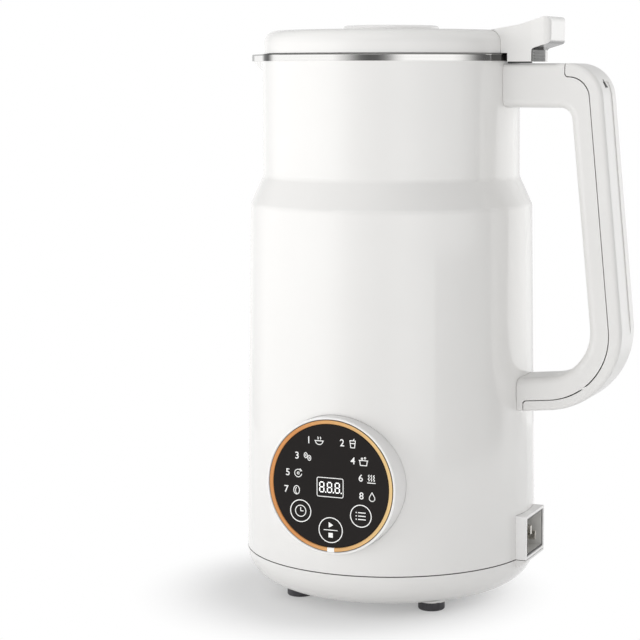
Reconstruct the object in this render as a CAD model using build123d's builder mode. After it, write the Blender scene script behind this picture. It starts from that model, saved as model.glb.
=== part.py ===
from build123d import *
import os
from math import cos, hypot, radians, sin, sqrt, tan

os.makedirs("parts", exist_ok=True)

# A soy milk maker that stands on four feet. All lengths are in millimetres, all angles in degrees.
# The origin is on the jug's axis at the surface that it stands on. +Z is up, +X points to the
# handle, the pouring lip is at -X and the control pod faces -Y.

# Clearances
seat_gap = 0.1
slide_gap = 0.3
running_gap = 0.05
seam_gap = 0.45
overrun = 6.0

# Casing
seam_z = 21.0
casing_seam_radius = 68.0
casing_draft = 2.6
casing_waist_z = 181.8
shoulder_height = 13.1
shoulder_depth = 5.95
neck_height = 52.2
neck_draft = 0.15
shoulder_edge_radius = 5.0
shoulder_root_radius = 5.0
casing_wall = 2.4
column_count = 4
column_radius = 4.0
column_inset = 12.0
column_height = 30.0
column_rib_width = 2.0
column_angle = 45.0
screw_radius = 1.5
pilot_radius = 1.35

casing_waist_radius = casing_seam_radius - casing_draft
neck_low_radius = casing_waist_radius - shoulder_depth
neck_top_radius = neck_low_radius - neck_draft
column_place_radius = casing_seam_radius - column_inset
shoulder_top_z = casing_waist_z + shoulder_height
neck_top_z = shoulder_top_z + neck_height

# Pouring lip
lip_overhang = 10.9
lip_radius = 7.0
lip_root_shift = 7.0
lip_root_inset = 2.3
lip_height = 11.1
channel_inset = 4.8
channel_radius = 5.0
lip_reach = neck_top_radius + lip_overhang
lip_root_radius = neck_top_radius - lip_root_inset - lip_root_shift
channel_reach = lip_reach - channel_inset

# Steel jug
jug_gap = 6.3
jug_wall = 0.8
jug_floor_z = 80.0
jug_corner_radius = 9.0
rim_height = 3.2
rim_overhang = 0.6
rim_return_width = 2.9
rim_edge_radius = 0.6
jug_radius = neck_top_radius - jug_gap
rim_top_z = neck_top_z + rim_height
rim_radius = neck_top_radius + rim_overhang

# Base cover and feet
floor_gap = 5.0
bowl_reach = 18.0
base_wall = 2.4
spigot_height = 6.0
spigot_wall = 1.8
vent_count = 14
vent_width = 2.4
vent_length = 15.0
vent_place_radius = 24.0
foot_count = 4
foot_radius = 6.1
foot_height = 4.2
foot_stem_radius = 2.6
foot_edge_radius = 0.8
foot_boss_radius = 7.2
foot_inset = 3.8
foot_angle = 45.0
screw_head_radius = 2.9
screw_head_height = 2.0
screw_sink = 1.2
bowl_flat_radius = casing_seam_radius - bowl_reach
foot_place_radius = bowl_flat_radius - foot_inset

# Shaft and its housing in the jug floor
shaft_radius = 4.0
shaft_bottom_z = 9.0
housing_radius = 9.5
housing_flange_radius = 13.0
housing_flange_height = 2.4
housing_neck_radius = 8.0
housing_height = 12.0
housing_thread_length = 10.0
gasket_thickness = 1.0
housing_nut_radius = 14.0
housing_nut_height = 5.0
seal_radius = 6.5
seal_height = 3.0

# Heater under the jug floor
heater_plate_radius = 35.0
heater_plate_hole_radius = 16.0
heater_plate_thickness = 4.0
heater_ring_radius = 28.0
heater_tube_radius = 3.2
heater_arc = 320.0
heater_tail_radius = 1.6
heater_tail_length = 5.0
sensor_radius = 3.0
sensor_height = 6.0
sensor_place_radius = 20.5

# Motor carrier that hangs on three studs below the jug floor
carrier_z = 60.0
carrier_thickness = 2.0
carrier_radius = 46.0
stud_count = 3
stud_place_radius = 40.0
stud_radius = 3.4
stud_thread_radius = 2.0
grommet_radius = 6.5
grommet_waist_radius = 4.6
grommet_flange = 1.5
stud_nut_radius = 3.9
stud_nut_height = 3.2

# Motor
bearing_radius = 11.0
bearing_width = 7.0
bearing_boss_wall = 2.5
bearing_shield_gap = 1.0
lower_bearing_z = 19.5
upper_bearing_z = 58.0
stack_z = 36.0
stack_height = 18.0
stator_radius = 29.0
stator_flat_inset = 5.0
stator_depth = 13.5
air_gap = 0.6
coil_width = 5.0
coil_spread = 12.5
coil_clearance = 0.3
armature_slot_count = 10
armature_slot_width = 2.2
armature_slot_depth = 4.0
winding_height = 3.0
winding_inset = 3.5
commutator_radius = 9.0
commutator_z = 27.0
commutator_height = 5.4
end_frame_z = 19.0
end_frame_thickness = 3.0
frame_arm_count = 4
motor_post_radius = 2.5
motor_screw_inset = 2.6
brush_size = 5.0
brush_length = 11.0
holder_size = 8.0
holder_length = 9.0
holder_start = 14.2
fan_radius = 26.5
fan_z = 10.0
fan_height = 6.0
fan_hub_radius = 7.5
fan_plate_thickness = 1.2
fan_blade_count = 9
fan_blade_thickness = 1.4
stator_flat_width = 2 * (stator_radius - stator_flat_inset)
stator_bore_radius = stator_radius - stator_depth
coil_place = stator_bore_radius + coil_width / 2
winding_radius = stator_bore_radius - winding_inset
motor_screw_place = stator_radius - motor_screw_inset

# Blades
hub_radius = 6.5
hub_height = 3.4
hub_gap = 0.5
blade_shaft_radius = 3.0
blade_span = 46.0
blade_width = 9.0
blade_thickness = 1.2
blade_flat_width = 20.0
blade_rise = 6.0
blade_nut_radius = 5.0
blade_nut_height = 5.0

# Control pod
pod_z = 62.0
pod_radius = 30.8
pod_stand = 4.5
pod_depth = 18.5
pod_floor_thickness = 2.0
pod_cavity_radius = 26.4
pod_lip = 1.2
pod_edge_radius = 0.5
ring_width = 1.85
ring_edge = 0.25
glass_thickness = 1.9
glass_setback = 0.3
ring_setback = 0.1
board_thickness = 1.6
board_radius = 25.0
board_setback = 9.3
board_post_count = 3
board_post_radius = 2.2
board_post_place = 21.5
display_width = 13.4
display_height = 9.4
display_offset = -0.6
touch_pad_radius = 3.5
side_key_spread = 14.4
side_key_drop = 12.2
middle_key_drop = 19.7
indicator_width = 3.3
indicator_depth = 5.0
pod_face = casing_seam_radius + pod_stand

# Power inlet
shroud_width = 27.0
shroud_height = 20.2
shroud_wall = 1.2
shroud_stand = 3.5
shroud_depth = 17.5
shroud_lift = 0.3
socket_wall = 0.8
socket_floor = 2.5
socket_setback = 0.6
pin_width = 2.0
pin_height = 4.0
pin_length = 15.5
pin_tab_length = 6.0
pin_spread = 7.0
pin_drop = 3.0
earth_pin_rise = 4.0
lug_height = 1.0
lug_depth = 3.0
shroud_face = casing_seam_radius + shroud_stand

# Power board
power_board_inset = 24.8
power_board_width = 52.0
power_board_height = 28.0
power_board_z = 21.0
board_rail_spread = 20.0
board_rail_width = 5.0
board_rail_wall = 2.0
board_rail_grip = 3.0
transformer_size = 16.0
relay_length = 15.0
relay_width = 9.0
capacitor_radius = 5.0
capacitor_length = 12.0
lead_radius = 1.3
lead_bend_radius = 6.5
lead_spacing = 5.0
power_board_place = casing_seam_radius - power_board_inset

# Handle
handle_width = 24.0
handle_top_drop = 1.1
handle_bottom_z = 89.5
handle_corner_stand = 34.5
handle_low_stand = 49.4
handle_low_rise = 4.7
upper_arm_height = 19.5
lower_arm_height = 15.2
grip_depth = 15.4
grip_top_radius = 16.0
grip_low_radius = 36.0
finger_top_radius = 5.5
finger_low_radius = 21.0
handle_edge_radius = 3.8
cover_edge_radius = 2.0
handle_wall = 2.4
handle_root = 11.0
cover_depth = 6.1
cover_low_depth = 5.0
cover_top_inset = 16.0
cover_arc_radius = 9.6
seam_jog_radius = 1.5
cover_low_gap = 0.6
handle_seam = 0.4
grip_inset_width = 9.0
grip_inset_depth = 0.4
grip_inset_drop = 8.0
handle_screw_spread = 5.5
handle_screw_length = 9.0
reed_radius = 1.3
reed_length = 12.0
reed_drop = 6.0
handle_corner_reach = casing_seam_radius + handle_corner_stand
handle_low_reach = casing_seam_radius + handle_low_stand
cover_top_reach = handle_corner_reach - cover_top_inset
cover_low_reach = casing_seam_radius + cover_low_gap

# Lid
lid_setback = 1.5
lid_height = 10.3
lid_edge_radius = 5.8
lid_wall = 2.2
liner_thickness = 1.6
skirt_wall = 1.6
skirt_height = 20.0
skirt_gap = 1.2
lid_seal_height = 4.0
lid_seal_rise = 2.0
lid_seal_groove = 0.8
strainer_slot_count = 5
strainer_slot_width = 3.0
strainer_slot_height = 9.0
strainer_slot_pitch = 6.0
vent_cap_radius = 22.0
vent_cap_height = 2.0
vent_cap_edge_radius = 1.4
vent_stem_radius = 15.5
vent_stem_wall = 1.6
vent_hole_count = 6
vent_hole_radius = 2.0
vent_hole_place = 9.0
lid_boss_count = 4
lid_boss_radius = 3.4
lid_boss_inset = 9.0
lid_screw_length = 5.5
probe_radius = 1.8
probe_inset = 10.5
probe_length = 54.0
probe_collar_radius = 4.6
probe_collar_height = 7.0
tab_overhang = 8.7
tab_half_width = 13.0
tail_half_width = 12.4
tab_corner_radius = 3.0
tail_length = 11.1
tail_lift = 0.8
tab_top_rise = 6.6
tab_edge_radius = 2.4
tab_back_radius = 12.0
tab_end_height = 12.4
tab_under_rise = 5.7
tab_side_radius = 1.6
magnet_radius = 3.5
magnet_height = 3.0
magnet_skin = 1.2
tab_screw_spread = 6.0
tab_screw_head_radius = 2.0
tab_screw_length = 8.0
lid_radius = rim_radius - lid_setback
lid_boss_place = jug_radius - lid_boss_inset
probe_place = jug_radius - probe_inset
tail_start = rim_radius + slide_gap
tail_reach = tail_start + tail_length
tab_reach = tail_reach + tab_overhang
magnet_place = tail_start + tail_length / 2

upward = (Align.CENTER, Align.CENTER, Align.MIN)
downward = (Align.CENTER, Align.CENTER, Align.MAX)
pod_plane = Plane(origin=(0, 0, pod_z), x_dir=Plane.XZ.x_dir, z_dir=Plane.XZ.z_dir)


def circle_places(radius, count, first_angle=0.0):
    """Return count points in a plane, evenly spaced round a circle."""
    angles = [radians(first_angle + 360 * index / count) for index in range(count)]
    return [(radius * cos(angle), radius * sin(angle)) for angle in angles]


def casing_outline(inset, low_z, high_z):
    """Return the half section of the casing, drawn in by inset and cut off at low_z and high_z."""
    draft = (casing_seam_radius - casing_waist_radius) / (casing_waist_z - seam_z)
    low_radius = casing_seam_radius + draft * (seam_z - low_z) - inset
    return [
        (0, low_z),
        (low_radius, low_z),
        (casing_waist_radius - inset, casing_waist_z),
        (neck_low_radius - inset, shoulder_top_z),
        (neck_top_radius - inset, high_z),
        (0, high_z),
    ]


def inset_path(points, inset):
    """Return an open path of straight runs, shifted by inset to the right of its direction."""
    shifted = []
    for start, end in zip(points[:-1], points[1:]):
        run = hypot(end[0] - start[0], end[1] - start[1])
        across = ((end[1] - start[1]) / run * inset, (start[0] - end[0]) / run * inset)
        shifted.append(((start[0] + across[0], start[1] + across[1]),
                        (end[0] + across[0], end[1] + across[1])))
    path = [shifted[0][0]]
    for (a, b), (c, d) in zip(shifted[:-1], shifted[1:]):
        first = (b[0] - a[0], b[1] - a[1])
        second = (d[0] - c[0], d[1] - c[1])
        cross = first[0] * second[1] - first[1] * second[0]
        along = ((c[0] - a[0]) * second[1] - (c[1] - a[1]) * second[0]) / cross
        path.append((a[0] + first[0] * along, a[1] + first[1] * along))
    path.append(shifted[-1][1])
    return path


shell_radii = [0, 0, shoulder_edge_radius, shoulder_root_radius, 0, 0]
casing_bottom_z = seam_z + seam_gap

# Solid casing, a little larger than the real one: what joins the casing from outside ends on it
with BuildPart() as casing_envelope:
    with BuildSketch(Plane.XZ):
        with BuildLine():
            FilletPolyline(
                *casing_outline(-seat_gap, seam_z - overrun, neck_top_z + overrun),
                radius=shell_radii, close=True
            )
        make_face()
    revolve(axis=Axis.Z)

# Body shell: a drafted casing with a stepped shoulder and a bulge under the pouring lip
lip_bottom_z = neck_top_z - lip_height
lip_start = neck_top_radius - jug_wall
lip_end = lip_reach - rim_overhang
column_bottom_z = casing_bottom_z + spigot_height
shroud_bottom_z = seam_z + shroud_lift
shroud_top_z = shroud_bottom_z + shroud_height
handle_top_z = neck_top_z - handle_top_drop
upper_screw_z = handle_top_z - upper_arm_height / 2
lower_screw_z = handle_bottom_z + (cover_low_depth + lower_arm_height) / 2
with BuildPart() as body_shell:
    with BuildSketch(Plane.XZ):
        with BuildLine():
            FilletPolyline(
                *casing_outline(0, casing_bottom_z, neck_top_z), radius=shell_radii, close=True
            )
        make_face()
    revolve(axis=Axis.Z)
    for level, reach in ((lip_bottom_z, lip_start), (neck_top_z, lip_end)):
        with BuildSketch(Plane.XY.offset(level)):
            with Locations((-lip_root_shift, 0)):
                Circle(lip_root_radius)
            with Locations((lip_radius - reach, 0)):
                Circle(lip_radius)
            make_hull()
    loft()
    with BuildSketch(Plane.XZ):
        with BuildLine():
            FilletPolyline(
                *casing_outline(casing_wall, casing_bottom_z - overrun, neck_top_z + overrun),
                radius=shell_radii, close=True
            )
        make_face()
    revolve(axis=Axis.Z, mode=Mode.SUBTRACT)
    lip_slope = (lip_end - lip_start) / lip_height
    for level in (lip_bottom_z, neck_top_z + overrun):
        reach = lip_start - casing_wall + lip_slope * (level - lip_bottom_z)
        with BuildSketch(Plane.XY.offset(level)):
            with Locations((-lip_root_shift, 0)):
                Circle(lip_root_radius - casing_wall)
            with Locations((lip_radius - reach, 0)):
                Circle(lip_radius - casing_wall)
            make_hull()
    loft(mode=Mode.SUBTRACT)
    with BuildSketch(Plane.XY.offset(column_bottom_z)):
        with PolarLocations(column_place_radius, column_count, start_angle=column_angle):
            Circle(column_radius)
        with PolarLocations((column_place_radius + casing_seam_radius) / 2 - casing_wall / 2,
                            column_count, start_angle=column_angle):
            Rectangle(casing_seam_radius - column_place_radius - casing_wall, column_rib_width)
    extrude(amount=column_height)
    with BuildSketch(Plane.XY.offset(column_bottom_z)):
        with PolarLocations(column_place_radius, column_count, start_angle=column_angle):
            Circle(pilot_radius)
    extrude(amount=column_height - casing_wall, mode=Mode.SUBTRACT)
    with BuildSketch(pod_plane):
        Circle(pod_radius + seat_gap)
    extrude(amount=casing_seam_radius + overrun, mode=Mode.SUBTRACT)
    with Locations((casing_waist_radius, 0, shroud_top_z + seat_gap)):
        Box(4 * overrun, shroud_width + 2 * seat_gap, shroud_height + overrun, align=downward,
            mode=Mode.SUBTRACT)
    with BuildSketch(Plane.YZ):
        for level in (lower_screw_z, upper_screw_z):
            with Locations((-handle_screw_spread, level), (handle_screw_spread, level)):
                Circle(screw_radius + seat_gap)
    extrude(amount=casing_seam_radius + overrun, mode=Mode.SUBTRACT)
body_shell.part.label = "body_shell"
export_step(body_shell.part, "parts/body_shell.step")

# Base cover: a bowl with air vents, foot bosses, screw towers and the rails of the power board
bowl_height = seam_z - floor_gap
base_inside_z = floor_gap + base_wall
spigot_radius = casing_seam_radius - casing_wall - seat_gap - running_gap
tower_top_z = column_bottom_z - seat_gap
column_places = circle_places(column_place_radius, column_count, column_angle)
foot_places = circle_places(foot_place_radius, foot_count, foot_angle)
board_side_x = -power_board_place - board_thickness / 2
base_screw_seat_z = floor_gap + base_wall + screw_sink + screw_head_height
with BuildPart() as screw_towers:
    with BuildSketch(Plane.XY.offset(floor_gap)):
        with Locations(*column_places):
            Circle(column_radius)
    extrude(amount=tower_top_z - floor_gap)
    with BuildSketch(Plane.XZ):
        with BuildLine():
            EllipticalCenterArc((bowl_flat_radius, seam_z), bowl_reach, bowl_height,
                                start_angle=270, arc_size=90)
            Polyline((casing_seam_radius, seam_z), (casing_seam_radius, floor_gap),
                     (bowl_flat_radius, floor_gap))
        make_face()
    revolve(axis=Axis.Z, mode=Mode.SUBTRACT)
with BuildPart() as base_cover:
    with BuildSketch(Plane.XZ):
        with BuildLine():
            Line((0, floor_gap), (bowl_flat_radius, floor_gap))
            EllipticalCenterArc((bowl_flat_radius, seam_z), bowl_reach, bowl_height,
                                start_angle=270, arc_size=90)
            Polyline((casing_seam_radius, seam_z), (0, seam_z), (0, floor_gap))
        make_face()
    revolve(axis=Axis.Z)
    with BuildSketch(Plane.XZ):
        with BuildLine():
            Polyline((casing_waist_radius, seam_z), (shroud_face - seat_gap, seam_z),
                     (shroud_face - seat_gap, seam_z - lug_height),
                     (casing_waist_radius, seam_z - lug_height - lug_depth), close=True)
        make_face()
    extrude(amount=shroud_width / 2, both=True)
    with BuildSketch(Plane.XZ):
        with BuildLine():
            Line((0, base_inside_z), (bowl_flat_radius, base_inside_z))
            EllipticalCenterArc((bowl_flat_radius, seam_z), bowl_reach - base_wall,
                                bowl_height - base_wall, start_angle=270, arc_size=90)
            Polyline((casing_seam_radius - base_wall, seam_z), (0, seam_z), (0, base_inside_z))
        make_face()
    revolve(axis=Axis.Z, mode=Mode.SUBTRACT)
    with BuildSketch(Plane.XY.offset(seam_z - spigot_height)):
        Circle(spigot_radius)
        Circle(spigot_radius - spigot_wall, mode=Mode.SUBTRACT)
    extrude(amount=2 * spigot_height)
    with Locations((casing_waist_radius, 0, seam_z)):
        Box(4 * overrun, shroud_width + 2 * seat_gap, spigot_height + overrun, align=upward,
            mode=Mode.SUBTRACT)
    for side in (-1, 1):
        with Locations((-power_board_place, side * board_rail_spread, floor_gap)):
            Box(board_thickness + 2 * board_rail_wall, board_rail_width,
                power_board_z - floor_gap + board_rail_grip, align=upward)
    with Locations((-power_board_place, 0, power_board_z)):
        Box(board_thickness + 2 * running_gap, power_board_width + overrun, power_board_height,
            align=upward, mode=Mode.SUBTRACT)
    add(screw_towers.part)
    with BuildSketch(Plane.XY.offset(foot_height)):
        with Locations(*foot_places):
            Circle(foot_boss_radius)
    extrude(amount=base_inside_z - foot_height)
    with BuildSketch(Plane.XY):
        with Locations(*column_places):
            Circle(screw_radius + seat_gap)
        with Locations(*foot_places):
            Circle(foot_stem_radius + running_gap)
        with PolarLocations(vent_place_radius, vent_count):
            SlotOverall(vent_length, vent_width)
    extrude(amount=tower_top_z + overrun, mode=Mode.SUBTRACT)
    with BuildSketch(Plane.XY):
        with Locations(*column_places):
            Circle(screw_head_radius + seat_gap)
    extrude(amount=base_screw_seat_z, mode=Mode.SUBTRACT)
base_cover.part.label = "base_cover"
export_step(base_cover.part, "parts/base_cover.step")

# Rubber feet, each with a stem that is pushed into its boss
with BuildPart() as rubber_feet:
    with BuildSketch(Plane.XY):
        with Locations(*foot_places):
            Circle(foot_radius)
    extrude(amount=foot_height)
    fillet(rubber_feet.edges().group_by(Axis.Z)[0], foot_edge_radius)
    with BuildSketch(Plane.XY.offset(foot_height)):
        with Locations(*foot_places):
            Circle(foot_stem_radius)
    extrude(amount=base_inside_z - foot_height)
rubber_feet.part.label = "rubber_feet"
export_step(rubber_feet.part, "parts/rubber_feet.step")

# Four screws that hold the base cover to the casing's columns
with BuildPart() as base_screws:
    with Locations(*[(x, y, base_screw_seat_z - screw_head_height) for x, y in column_places]):
        Cylinder(screw_head_radius, screw_head_height, align=upward)
        Cylinder(pilot_radius - running_gap, column_bottom_z - base_screw_seat_z
                 + screw_head_height + 2 * column_radius, align=upward)
base_screws.part.label = "base_screws"
export_step(base_screws.part, "parts/base_screws.step")

# Steel jug: a thin vessel whose hemmed rim sits on the casing and runs out into the pouring lip
jug_outer_radius = jug_radius + jug_wall
channel_bottom_z = neck_top_z - lip_height + jug_wall
rim_layers = (
    (neck_top_z + jug_wall, rim_top_z - jug_wall, jug_wall),
    (neck_top_z, neck_top_z + jug_wall, rim_return_width),
)
channel_start = jug_radius - jug_wall
channel_slope = (channel_reach - channel_start) / (rim_top_z - channel_bottom_z)
with BuildPart() as steel_jug:
    with BuildSketch(Plane.XY.offset(neck_top_z)):
        Circle(rim_radius)
        with Locations((lip_radius - lip_reach, 0)):
            Circle(lip_radius)
        make_hull()
    extrude(amount=rim_height)
    fillet(steel_jug.edges().group_by(Axis.Z)[-1], rim_edge_radius)
    for low_z, high_z, inset in rim_layers:
        with BuildSketch(Plane.XY.offset(low_z)):
            Circle(rim_radius - inset)
            with Locations((lip_radius - lip_reach, 0)):
                Circle(lip_radius - inset)
            make_hull()
        extrude(amount=high_z - low_z, mode=Mode.SUBTRACT)
    with BuildSketch(Plane.XZ):
        with BuildLine():
            FilletPolyline(
                (0, jug_floor_z - jug_wall), (jug_outer_radius, jug_floor_z - jug_wall),
                (jug_outer_radius, rim_top_z), (0, rim_top_z),
                radius=[0, jug_corner_radius + jug_wall, 0, 0], close=True
            )
        make_face()
    revolve(axis=Axis.Z)
    for level in (channel_bottom_z, rim_top_z):
        reach = channel_start + channel_slope * (level - channel_bottom_z) + jug_wall
        with BuildSketch(Plane.XY.offset(level)):
            with Locations((-lip_root_shift, 0)):
                Circle(lip_root_radius - lip_root_shift + jug_wall)
            with Locations((channel_radius - reach, 0)):
                Circle(channel_radius + jug_wall)
            make_hull()
    loft()
    with BuildSketch(Plane.XZ):
        with BuildLine():
            FilletPolyline(
                (0, jug_floor_z), (jug_radius, jug_floor_z), (jug_radius, rim_top_z + overrun),
                (0, rim_top_z + overrun), radius=[0, jug_corner_radius, 0, 0], close=True
            )
        make_face()
    revolve(axis=Axis.Z, mode=Mode.SUBTRACT)
    for level in (channel_bottom_z, rim_top_z + overrun):
        reach = channel_start + channel_slope * (level - channel_bottom_z)
        with BuildSketch(Plane.XY.offset(level)):
            with Locations((-lip_root_shift, 0)):
                Circle(lip_root_radius - lip_root_shift)
            with Locations((channel_radius - reach, 0)):
                Circle(channel_radius)
            make_hull()
    loft(mode=Mode.SUBTRACT)
    with BuildSketch(Plane.XY.offset(jug_floor_z - overrun)):
        Circle(housing_radius + seat_gap)
    extrude(amount=2 * overrun, mode=Mode.SUBTRACT)
steel_jug.part.label = "steel_jug"
export_step(steel_jug.part, "parts/steel_jug.step")

# Three welded studs under the jug floor that carry the motor
stud_places = circle_places(stud_place_radius, stud_count, 180 / stud_count)
jug_underside_z = jug_floor_z - jug_wall
grommet_top_z = carrier_z + carrier_thickness + grommet_flange
grommet_bottom_z = carrier_z - grommet_flange
stud_nut_z = grommet_bottom_z - stud_nut_height
with BuildPart() as jug_studs:
    with Locations(*[(x, y, jug_underside_z) for x, y in stud_places]):
        Cylinder(stud_radius, jug_underside_z - grommet_top_z, align=downward)
        Cylinder(stud_thread_radius, jug_underside_z - stud_nut_z + jug_wall, align=downward)
jug_studs.part.label = "jug_studs"
export_step(jug_studs.part, "parts/jug_studs.step")

# Shaft housing: clamps the jug floor and holds the shaft seals
housing_flange_z = jug_floor_z + gasket_thickness
housing_top_z = jug_floor_z + housing_height
seal_stack = 2 * seal_height
housing_bore_radius = shaft_radius + air_gap
with BuildPart() as shaft_housing:
    with BuildSketch(Plane.XZ):
        with BuildLine():
            Polyline(
                (housing_bore_radius, jug_floor_z - housing_thread_length),
                (housing_radius, jug_floor_z - housing_thread_length),
                (housing_radius, housing_flange_z),
                (housing_flange_radius, housing_flange_z),
                (housing_flange_radius, housing_flange_z + housing_flange_height),
                (housing_radius, housing_flange_z + housing_flange_height),
                (housing_neck_radius, housing_top_z),
                (seal_radius + running_gap, housing_top_z),
                (seal_radius + running_gap, housing_top_z - seal_stack),
                (housing_bore_radius, housing_top_z - seal_stack), close=True
            )
        make_face()
    revolve(axis=Axis.Z)
shaft_housing.part.label = "shaft_housing"
export_step(shaft_housing.part, "parts/shaft_housing.step")

with BuildPart() as housing_gasket:
    with BuildSketch(Plane.XY.offset(jug_floor_z)):
        Circle(housing_flange_radius)
        Circle(housing_radius + running_gap, mode=Mode.SUBTRACT)
    extrude(amount=gasket_thickness)
housing_gasket.part.label = "housing_gasket"
export_step(housing_gasket.part, "parts/housing_gasket.step")

with BuildPart() as housing_nut:
    with BuildSketch(Plane.XY.offset(jug_underside_z - housing_nut_height)):
        RegularPolygon(housing_nut_radius, 6)
        Circle(housing_radius + running_gap, mode=Mode.SUBTRACT)
    extrude(amount=housing_nut_height)
housing_nut.part.label = "housing_nut"
export_step(housing_nut.part, "parts/housing_nut.step")

with BuildPart() as shaft_seals:
    for index in range(2):
        with BuildSketch(Plane.XY.offset(housing_top_z - (index + 1) * seal_height)):
            Circle(seal_radius)
            Circle(shaft_radius + running_gap, mode=Mode.SUBTRACT)
        extrude(amount=seal_height - running_gap)
shaft_seals.part.label = "shaft_seals"
export_step(shaft_seals.part, "parts/shaft_seals.step")

# Heater: a cast plate on the jug floor, and an open ring of tube under it with two tails
heater_plate_z = jug_underside_z - heater_plate_thickness
heater_ring_z = heater_plate_z - heater_tube_radius
with BuildPart() as heater_plate:
    with BuildSketch(Plane.XY.offset(heater_plate_z)):
        Circle(heater_plate_radius)
        Circle(heater_plate_hole_radius, mode=Mode.SUBTRACT)
    extrude(amount=heater_plate_thickness)
heater_plate.part.label = "heater_plate"
export_step(heater_plate.part, "parts/heater_plate.step")

with BuildPart() as heater_ring:
    with BuildSketch(Plane.XZ):
        with Locations((heater_ring_radius, heater_ring_z)):
            Circle(heater_tube_radius)
    revolve(axis=Axis.Z, revolution_arc=heater_arc)
    tail_lean = heater_tail_radius / heater_ring_radius
    for angle in (tail_lean, radians(heater_arc) - tail_lean):
        tail_x = heater_ring_radius * cos(angle)
        tail_y = heater_ring_radius * sin(angle)
        with Locations((tail_x, tail_y, heater_ring_z)):
            Cylinder(heater_tail_radius, heater_tube_radius + heater_tail_length, align=downward)
heater_ring.part.label = "heater_ring"
export_step(heater_ring.part, "parts/heater_ring.step")

with BuildPart() as temperature_sensor:
    with Locations((-sensor_place_radius, 0, heater_plate_z)):
        Cylinder(sensor_radius, sensor_height, align=downward)
        Cylinder(sensor_radius + jug_wall, jug_wall, align=downward)
temperature_sensor.part.label = "temperature_sensor"
export_step(temperature_sensor.part, "parts/temperature_sensor.step")

# Motor carrier: a plate on the studs, with the seat of the upper bearing and two motor posts
bearing_seat_radius = bearing_radius + running_gap
bearing_boss_radius = bearing_radius + bearing_boss_wall
stack_top_z = stack_z + stack_height
with BuildPart() as motor_carrier:
    with BuildSketch(Plane.XY.offset(carrier_z)):
        Circle(carrier_radius)
        with Locations(*stud_places):
            Circle(grommet_waist_radius + running_gap, mode=Mode.SUBTRACT)
    extrude(amount=carrier_thickness)
    with Locations((0, 0, upper_bearing_z)):
        Cylinder(bearing_boss_radius, bearing_width, align=upward)
    with Locations((motor_screw_place, 0, stack_top_z), (-motor_screw_place, 0, stack_top_z)):
        Cylinder(motor_post_radius, carrier_z - stack_top_z, align=upward)
    with Locations((0, 0, upper_bearing_z - overrun)):
        Cylinder(bearing_seat_radius, bearing_width + 2 * overrun, align=upward,
                 mode=Mode.SUBTRACT)
    with Locations((motor_screw_place, 0, 0), (-motor_screw_place, 0, 0)):
        Cylinder(screw_radius + seat_gap, carrier_z + 2 * overrun, align=upward,
                 mode=Mode.SUBTRACT)
motor_carrier.part.label = "motor_carrier"
export_step(motor_carrier.part, "parts/motor_carrier.step")

with BuildPart() as carrier_grommets:
    for x, y in stud_places:
        with Locations((x, y, grommet_bottom_z)):
            Cylinder(grommet_radius, grommet_flange, align=upward)
            Cylinder(grommet_waist_radius, grommet_top_z - grommet_bottom_z, align=upward)
        with Locations((x, y, grommet_top_z)):
            Cylinder(grommet_radius, grommet_flange, align=downward)
            Cylinder(stud_thread_radius + running_gap, grommet_top_z - grommet_bottom_z,
                     align=downward, mode=Mode.SUBTRACT)
carrier_grommets.part.label = "carrier_grommets"
export_step(carrier_grommets.part, "parts/carrier_grommets.step")

with BuildPart() as carrier_nuts:
    with BuildSketch(Plane.XY.offset(stud_nut_z)):
        with Locations(*stud_places):
            RegularPolygon(stud_nut_radius, 6)
            Circle(stud_thread_radius + running_gap, mode=Mode.SUBTRACT)
    extrude(amount=stud_nut_height)
carrier_nuts.part.label = "carrier_nuts"
export_step(carrier_nuts.part, "parts/carrier_nuts.step")

# Stator stack with four coil slots, and the two field coils wound round its poles
coil_places = [(x * coil_spread, y * coil_place) for x in (-1, 1) for y in (-1, 1)]
with BuildPart() as stator_core:
    with BuildSketch(Plane.XY.offset(stack_z)):
        Circle(stator_radius)
        Rectangle(2 * stator_radius, stator_flat_width, mode=Mode.INTERSECT)
        Circle(stator_bore_radius, mode=Mode.SUBTRACT)
        with Locations(*coil_places):
            Rectangle(coil_width + 2 * coil_clearance, coil_width + 2 * coil_clearance,
                      mode=Mode.SUBTRACT)
        with Locations((motor_screw_place, 0), (-motor_screw_place, 0)):
            Circle(screw_radius + seat_gap, mode=Mode.SUBTRACT)
    extrude(amount=stack_height)
stator_core.part.label = "stator_core"
export_step(stator_core.part, "parts/stator_core.step")

with BuildPart() as field_coils:
    for side in (-1, 1):
        with Locations((0, side * coil_place, stack_z + stack_height / 2)):
            Box(2 * coil_spread + coil_width, coil_width,
                stack_height + 2 * coil_clearance + 2 * coil_width)
            Box(2 * coil_spread - coil_width, coil_width + overrun,
                stack_height + 2 * coil_clearance, mode=Mode.SUBTRACT)
field_coils.part.label = "field_coils"
export_step(field_coils.part, "parts/field_coils.step")

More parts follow.
